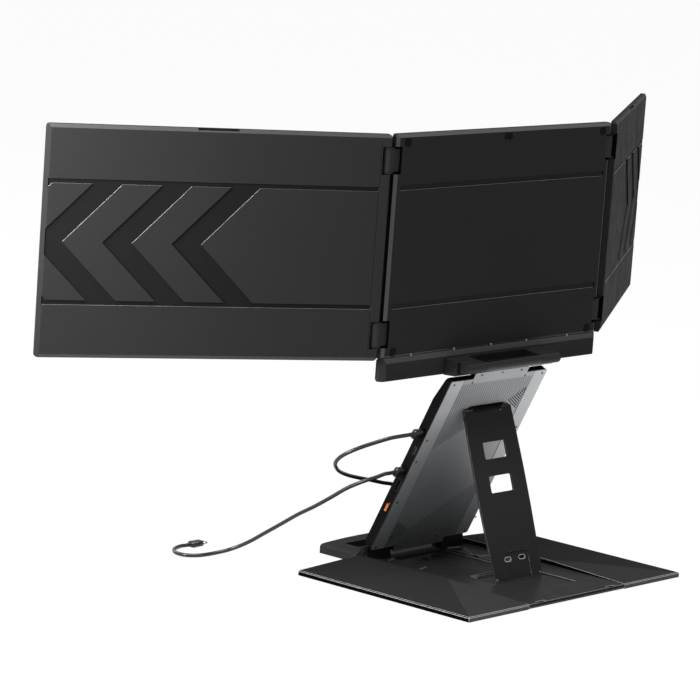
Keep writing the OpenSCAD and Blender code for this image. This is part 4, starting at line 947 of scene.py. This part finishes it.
class EXTENDER_OT_stage(bpy.types.Operator):
    """Sets up the camera, the floor, the world and the lamps"""

    bl_idname = "extender.stage"
    bl_label = "Stage"

    def execute(self, context):
        scene = context.scene
        scene.view_settings.view_transform = "Standard"
        self.make_camera(scene)
        self.make_floor()
        self.make_world(scene)
        self.make_lamps(scene)
        return {"FINISHED"}

    def make_camera(self, scene):
        level, rise = math.cos(CAMERA_ELEVATION), math.sin(CAMERA_ELEVATION)
        back = Vector((math.sin(CAMERA_AZIMUTH) * level, math.cos(CAMERA_AZIMUTH) * level, rise))
        side = Vector((0.0, 0.0, 1.0)).cross(back).normalized()
        up = back.cross(side)
        right = math.cos(CAMERA_ROLL) * side + math.sin(CAMERA_ROLL) * up
        top = -math.sin(CAMERA_ROLL) * side + math.cos(CAMERA_ROLL) * up
        lens = bpy.data.cameras.new("camera")
        lens.sensor_width = SENSOR_WIDTH
        lens.lens = FOCAL_PIXELS / FRAME_PIXELS * SENSOR_WIDTH
        lens.clip_end = CLIP_END
        camera = bpy.data.objects.new("camera", lens)
        turn = Matrix((right, top, back)).transposed().to_4x4()
        camera.matrix_world = Matrix.Translation(CAMERA_PLACE) @ turn
        scene.collection.objects.link(camera)
        scene.camera = camera

    def make_floor(self):
        bm = bmesh.new()
        bmesh.ops.create_grid(bm, x_segments=4, y_segments=4, size=FLOOR_SIZE)
        floor = piece_from("floor", bm, None, [self.pale_floor()])

    def pale_floor(self):
        """A floor that is all but white where it is seen, and gives ordinary light"""
        f = Finish("pale_floor", roughness=0.9, specular=0.1)
        f.surface((0.9, 0.9, 0.9, 1.0))
        rays = f.add("ShaderNodeLightPath")
        seen = f.math("MAXIMUM", rays.outputs["Is Camera Ray"], rays.outputs["Is Transmission Ray"])
        seen = f.math("MAXIMUM", seen, rays.outputs["Is Glossy Ray"])
        glow = f.add("ShaderNodeEmission")
        mix = f.add("ShaderNodeMixShader")
        f.feed(mix.inputs[0], f.math("MULTIPLY", seen, FLOOR_GLOW))
        f.links.new(f.shader.outputs[0], mix.inputs[1])
        f.links.new(glow.outputs[0], mix.inputs[2])
        f.links.new(mix.outputs[0], f.nodes["Material Output"].inputs["Surface"])
        return f.material

    def make_world(self, scene):
        """White where it is seen, dimmer as a light, and between the two in reflections"""
        world = bpy.data.worlds.new("studio")
        scene.world = world
        world.use_nodes = True
        nodes, links = world.node_tree.nodes, world.node_tree.links
        dim, white = nodes["Background"], nodes.new("ShaderNodeBackground")
        for light, strength in ((dim, WORLD_LIGHT), (white, 1.0)):
            light.inputs["Color"].default_value = (1.0, 1.0, 1.0, 1.0)
            light.inputs["Strength"].default_value = strength
        rays = nodes.new("ShaderNodeLightPath")
        seen = nodes.new("ShaderNodeMath")
        seen.operation = "MAXIMUM"
        links.new(rays.outputs["Is Camera Ray"], seen.inputs[0])
        links.new(rays.outputs["Is Transmission Ray"], seen.inputs[1])
        shine = nodes.new("ShaderNodeMath")
        shine.operation = "MULTIPLY_ADD"
        links.new(rays.outputs["Is Glossy Ray"], shine.inputs[0])
        shine.inputs[1].default_value = WORLD_SHINE
        links.new(seen.outputs[0], shine.inputs[2])
        mix = nodes.new("ShaderNodeMixShader")
        for i, light in enumerate((shine, dim, white)):
            links.new(light.outputs[0], mix.inputs[i])
        links.new(mix.outputs[0], nodes["World Output"].inputs["Surface"])

    def make_lamps(self, scene):
        for name, place, size, power in LAMPS:
            light = bpy.data.lights.new(name, "AREA")
            light.shape = "SQUARE"
            light.size = size
            light.energy = power
            lamp = bpy.data.objects.new(name, light)
            aim = (LAMP_AIM - Vector(place)).to_track_quat("-Z", "Y")
            lamp.matrix_world = Matrix.Translation(place) @ aim.to_matrix().to_4x4()
            lamp.visible_camera = False
            scene.collection.objects.link(lamp)


class EXTENDER_OT_cables(bpy.types.Operator):
    """Lays the cable to the laptop and the second cable with its coil, and their plugs on the table"""

    bl_idname = "extender.cables"
    bl_label = "Cables"

    def execute(self, context):
        line = curve_through(metres(LAPTOP_ROUTE), POINTS_PER_SPAN)
        self.lay(line, "laptop_lead", ["laptop_cable"], LAPTOP_TABLE, "loose", "laptop_plug")
        solids = ["spare_cable", "spare_cable_coil", "spare_cable_end"]
        self.lay(spare_line(), "spare_lead", solids, SPARE_TABLE, "coiled", "spare_plug")
        return {"FINISHED"}

    def lay(self, line, name, nodes, floor_end, lay, plug_node):
        plug = lying_plug(plug_node, line[-1])
        bm = cable_tube(line, bpy.context.scene.extender_finishes.cable_sides)
        piece = piece_from(name, bm, None, [finishes()["cable_black"]])
        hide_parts(*nodes)
        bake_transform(piece)


class EXTENDER_OT_shells(bpy.types.Operator):
    """Rounds the edges of the shells and gives every node its finish"""

    bl_idname = "extender.shells"
    bl_label = "Shells and finishes"

    def execute(self, context):
        width = context.scene.extender_sizes.edge_round
        for node in SLOT_OF:
            dress(node)
        for node, factor in WIDER_EDGES.items():
            softened(node, width * factor)
        for node in USUAL_EDGES:
            softened(node, width)
        return {"FINISHED"}


class EXTENDER_OT_plugs(bpy.types.Operator):
    """Gives both plugs in the hub their moulded bodies and tapered boots"""

    bl_idname = "extender.plugs"
    bl_label = "Plugs"

    def execute(self, context):
        for node, height in HUB_PLUGS.items():
            moulded_plug(node, HUB_FRAME @ Matrix.Translation((PLUG_SIDE, PLUG_DEPTH, COVER_FOOT + height)))
        return {"FINISHED"}


class EXTENDER_OT_hinge_washers(bpy.types.Operator):
    """Puts a thin washer and a tab on both ends of each screen hinge, near black in the pockets' painted
    shade
    """

    bl_idname = "extender.hinge_washers"
    bl_label = "Hinge washers"

    def execute(self, context):
        washers = []
        rim = [(0.0, 0.0), (WASHER_RADIUS, 0.0), (WASHER_RADIUS, WASHER_THICKNESS), (0.0, WASHER_THICKNESS)]
        for side, axis_y in ((1.0, LEFT_AXIS_Y), (-1.0, RIGHT_AXIS_Y)):
            for rise in HINGE_RISES:
                middle = SCREEN_FOOT + rise
                for foot in (middle - HALF_HINGE - WASHER_THICKNESS, middle + HALF_HINGE):
                    spot = Matrix.Translation((side * HINGE_X, axis_y, foot))
                    washers.append(placed(turned(rim, WASHER_SIDES), spot))
                    tab = plate(*HINGE_TAB)
                    bmesh.ops.reverse_faces(tab, faces=tab.faces)
                    spot = Matrix.Translation((side * (HINGE_X - TAB_INSET), SCREEN_REAR - TAB_DEPTH, foot))
                    washers.append(placed(raised(tab, WASHER_THICKNESS, THIN_ROUNDING), spot))
        # Painted shade: the washers and tabs take the pockets' near black
        piece_from("hinge_washers", gather(washers), "centre_screen",
                   [finishes()["pocket_shell"]])
        return {"FINISHED"}


class EXTENDER_OT_hub_screws(bpy.types.Operator):
    """Puts the screws and their seats into the hub's metal cover and its tab"""

    bl_idname = "extender.hub_screws"
    bl_label = "Hub screws"

    def execute(self, context):
        radius = context.scene.extender_sizes.screw_radius
        heads, seats = [], []
        for across, up in COVER_SCREWS:
            spot = HUB_FRAME @ rearward(across / MM_PER_METRE, COVER_REAR, COVER_FOOT + up / MM_PER_METRE)
            heads.append(placed(screw_head(radius * HUB_HEAD, HUB_HEAD_HEIGHT), spot))
            seats.append(placed(seat_ring(radius * HUB_HEAD, radius * HUB_SEAT, HUB_SEAT_HEIGHT), spot))
        piece_from("hub_screws", gather(heads), "hub", [finishes()["screw_black"]])
        piece_from("hub_screw_seats", gather(seats), "hub", [finishes()["seat_metal"]])
        return {"FINISHED"}


class EXTENDER_OT_chin_screws(bpy.types.Operator):
    """Puts the small screws into the ledge above the chin"""

    bl_idname = "extender.chin_screws"
    bl_label = "Chin screws"

    def execute(self, context):
        heads = []
        for across in CHIN_SCREWS:
            spot = rearward(across / MM_PER_METRE, SCREEN_REAR, CHIN_LEDGE)
            heads.append(placed(screw_head(CHIN_HEAD, CHIN_HEAD_HEIGHT), spot))
        piece_from("chin_screws", gather(heads), "centre_screen", [finishes()["small_screw"]])
        return {"FINISHED"}


class EXTENDER_OT_screen_pads(bpy.types.Operator):
    """Puts the soft pads on the back of the middle screen"""

    bl_idname = "extender.screen_pads"
    bl_label = "Screen pads"

    def execute(self, context):
        pads = []
        for size, x, z in SCREEN_PADS:
            pad = raised(plate(*size), PAD_THICKNESS, PAD_ROUNDING)
            pads.append(placed(pad, rearward(x, SCREEN_REAR, z)))
        piece_from("screen_pads", gather(pads), "centre_screen", [finishes()["pad_plastic"]])
        return {"FINISHED"}


class EXTENDER_OT_kickstand_parts(bpy.types.Operator):
    """Lines the kickstand's slots with painted seats and steel rims, and seats its hinge on the hub"""

    bl_idname = "extender.kickstand_parts"
    bl_label = "Kickstand parts"

    def execute(self, context):
        self.line_slots("kickstand_slot_seats", SLOT_SEAT, SLOT_RIM, SEAT_TOP, "kickstand_metal")
        self.line_slots("kickstand_slot_rims", SLOT_RIM, SLOT_HOLE, RIM_TOP, "pin_steel")
        seat = raised(plate(*HINGE_SEAT), HINGE_SEAT_THICKNESS, THIN_ROUNDING)
        spot = HUB_FRAME @ rearward(0.0, COVER_REAR, KICK_PIVOT.z - HINGE_SEAT_DROP)
        piece_from("kickstand_seat", placed(seat, spot), "hub",
                   [finishes()["bracket_metal"]])
        return {"FINISHED"}

    def line_slots(self, name, outer, inner, top, finish):
        """Puts the same lining into both slots"""
        linings = []
        for x in (-SLOT_SIDE, SLOT_SIDE):
            spot = KICK_FRAME @ rearward(x, 0.0, SLOT_RISE - KICK_LENGTH)
            linings.append(placed(slot_lining(outer, inner, -SLOT_DEPTH, top), spot))
        piece_from(name, gather(linings), "kickstand", [finishes()[finish]])


class EXTENDER_PT_panel(bpy.types.Panel):
    """Lists the steps that dress the screen extender"""

    bl_idname = "EXTENDER_PT_panel"
    bl_label = "Screen extender"
    bl_space_type = "VIEW_3D"
    bl_region_type = "UI"
    bl_category = "Extender"

    def draw(self, context):
        for group in (context.scene.extender_finishes, context.scene.extender_sizes):
            for name in group.__annotations__:
                self.layout.prop(group, name)
        for step in STEPS:
            self.layout.operator(step.bl_idname)


STEPS = (
    EXTENDER_OT_stage, EXTENDER_OT_cables, EXTENDER_OT_shells, EXTENDER_OT_plugs, EXTENDER_OT_hinge_washers,
    EXTENDER_OT_hub_screws, EXTENDER_OT_chin_screws, EXTENDER_OT_screen_pads, EXTENDER_OT_kickstand_parts,
)
CLASSES = (ExtenderFinishes, ExtenderSizes, *STEPS, EXTENDER_PT_panel)


def register():
    for cls in CLASSES:
        bpy.utils.register_class(cls)
    bpy.types.Scene.extender_finishes = PointerProperty(type=ExtenderFinishes)
    bpy.types.Scene.extender_sizes = PointerProperty(type=ExtenderSizes)


def unregister():
    del bpy.types.Scene.extender_sizes
    del bpy.types.Scene.extender_finishes
    for cls in reversed(CLASSES):
        bpy.utils.unregister_class(cls)


def main():
    register()
    for step in STEPS:
        group, action = step.bl_idname.split(".")
        getattr(getattr(bpy.ops, group), action)()


if __name__ == "__main__":
    main()
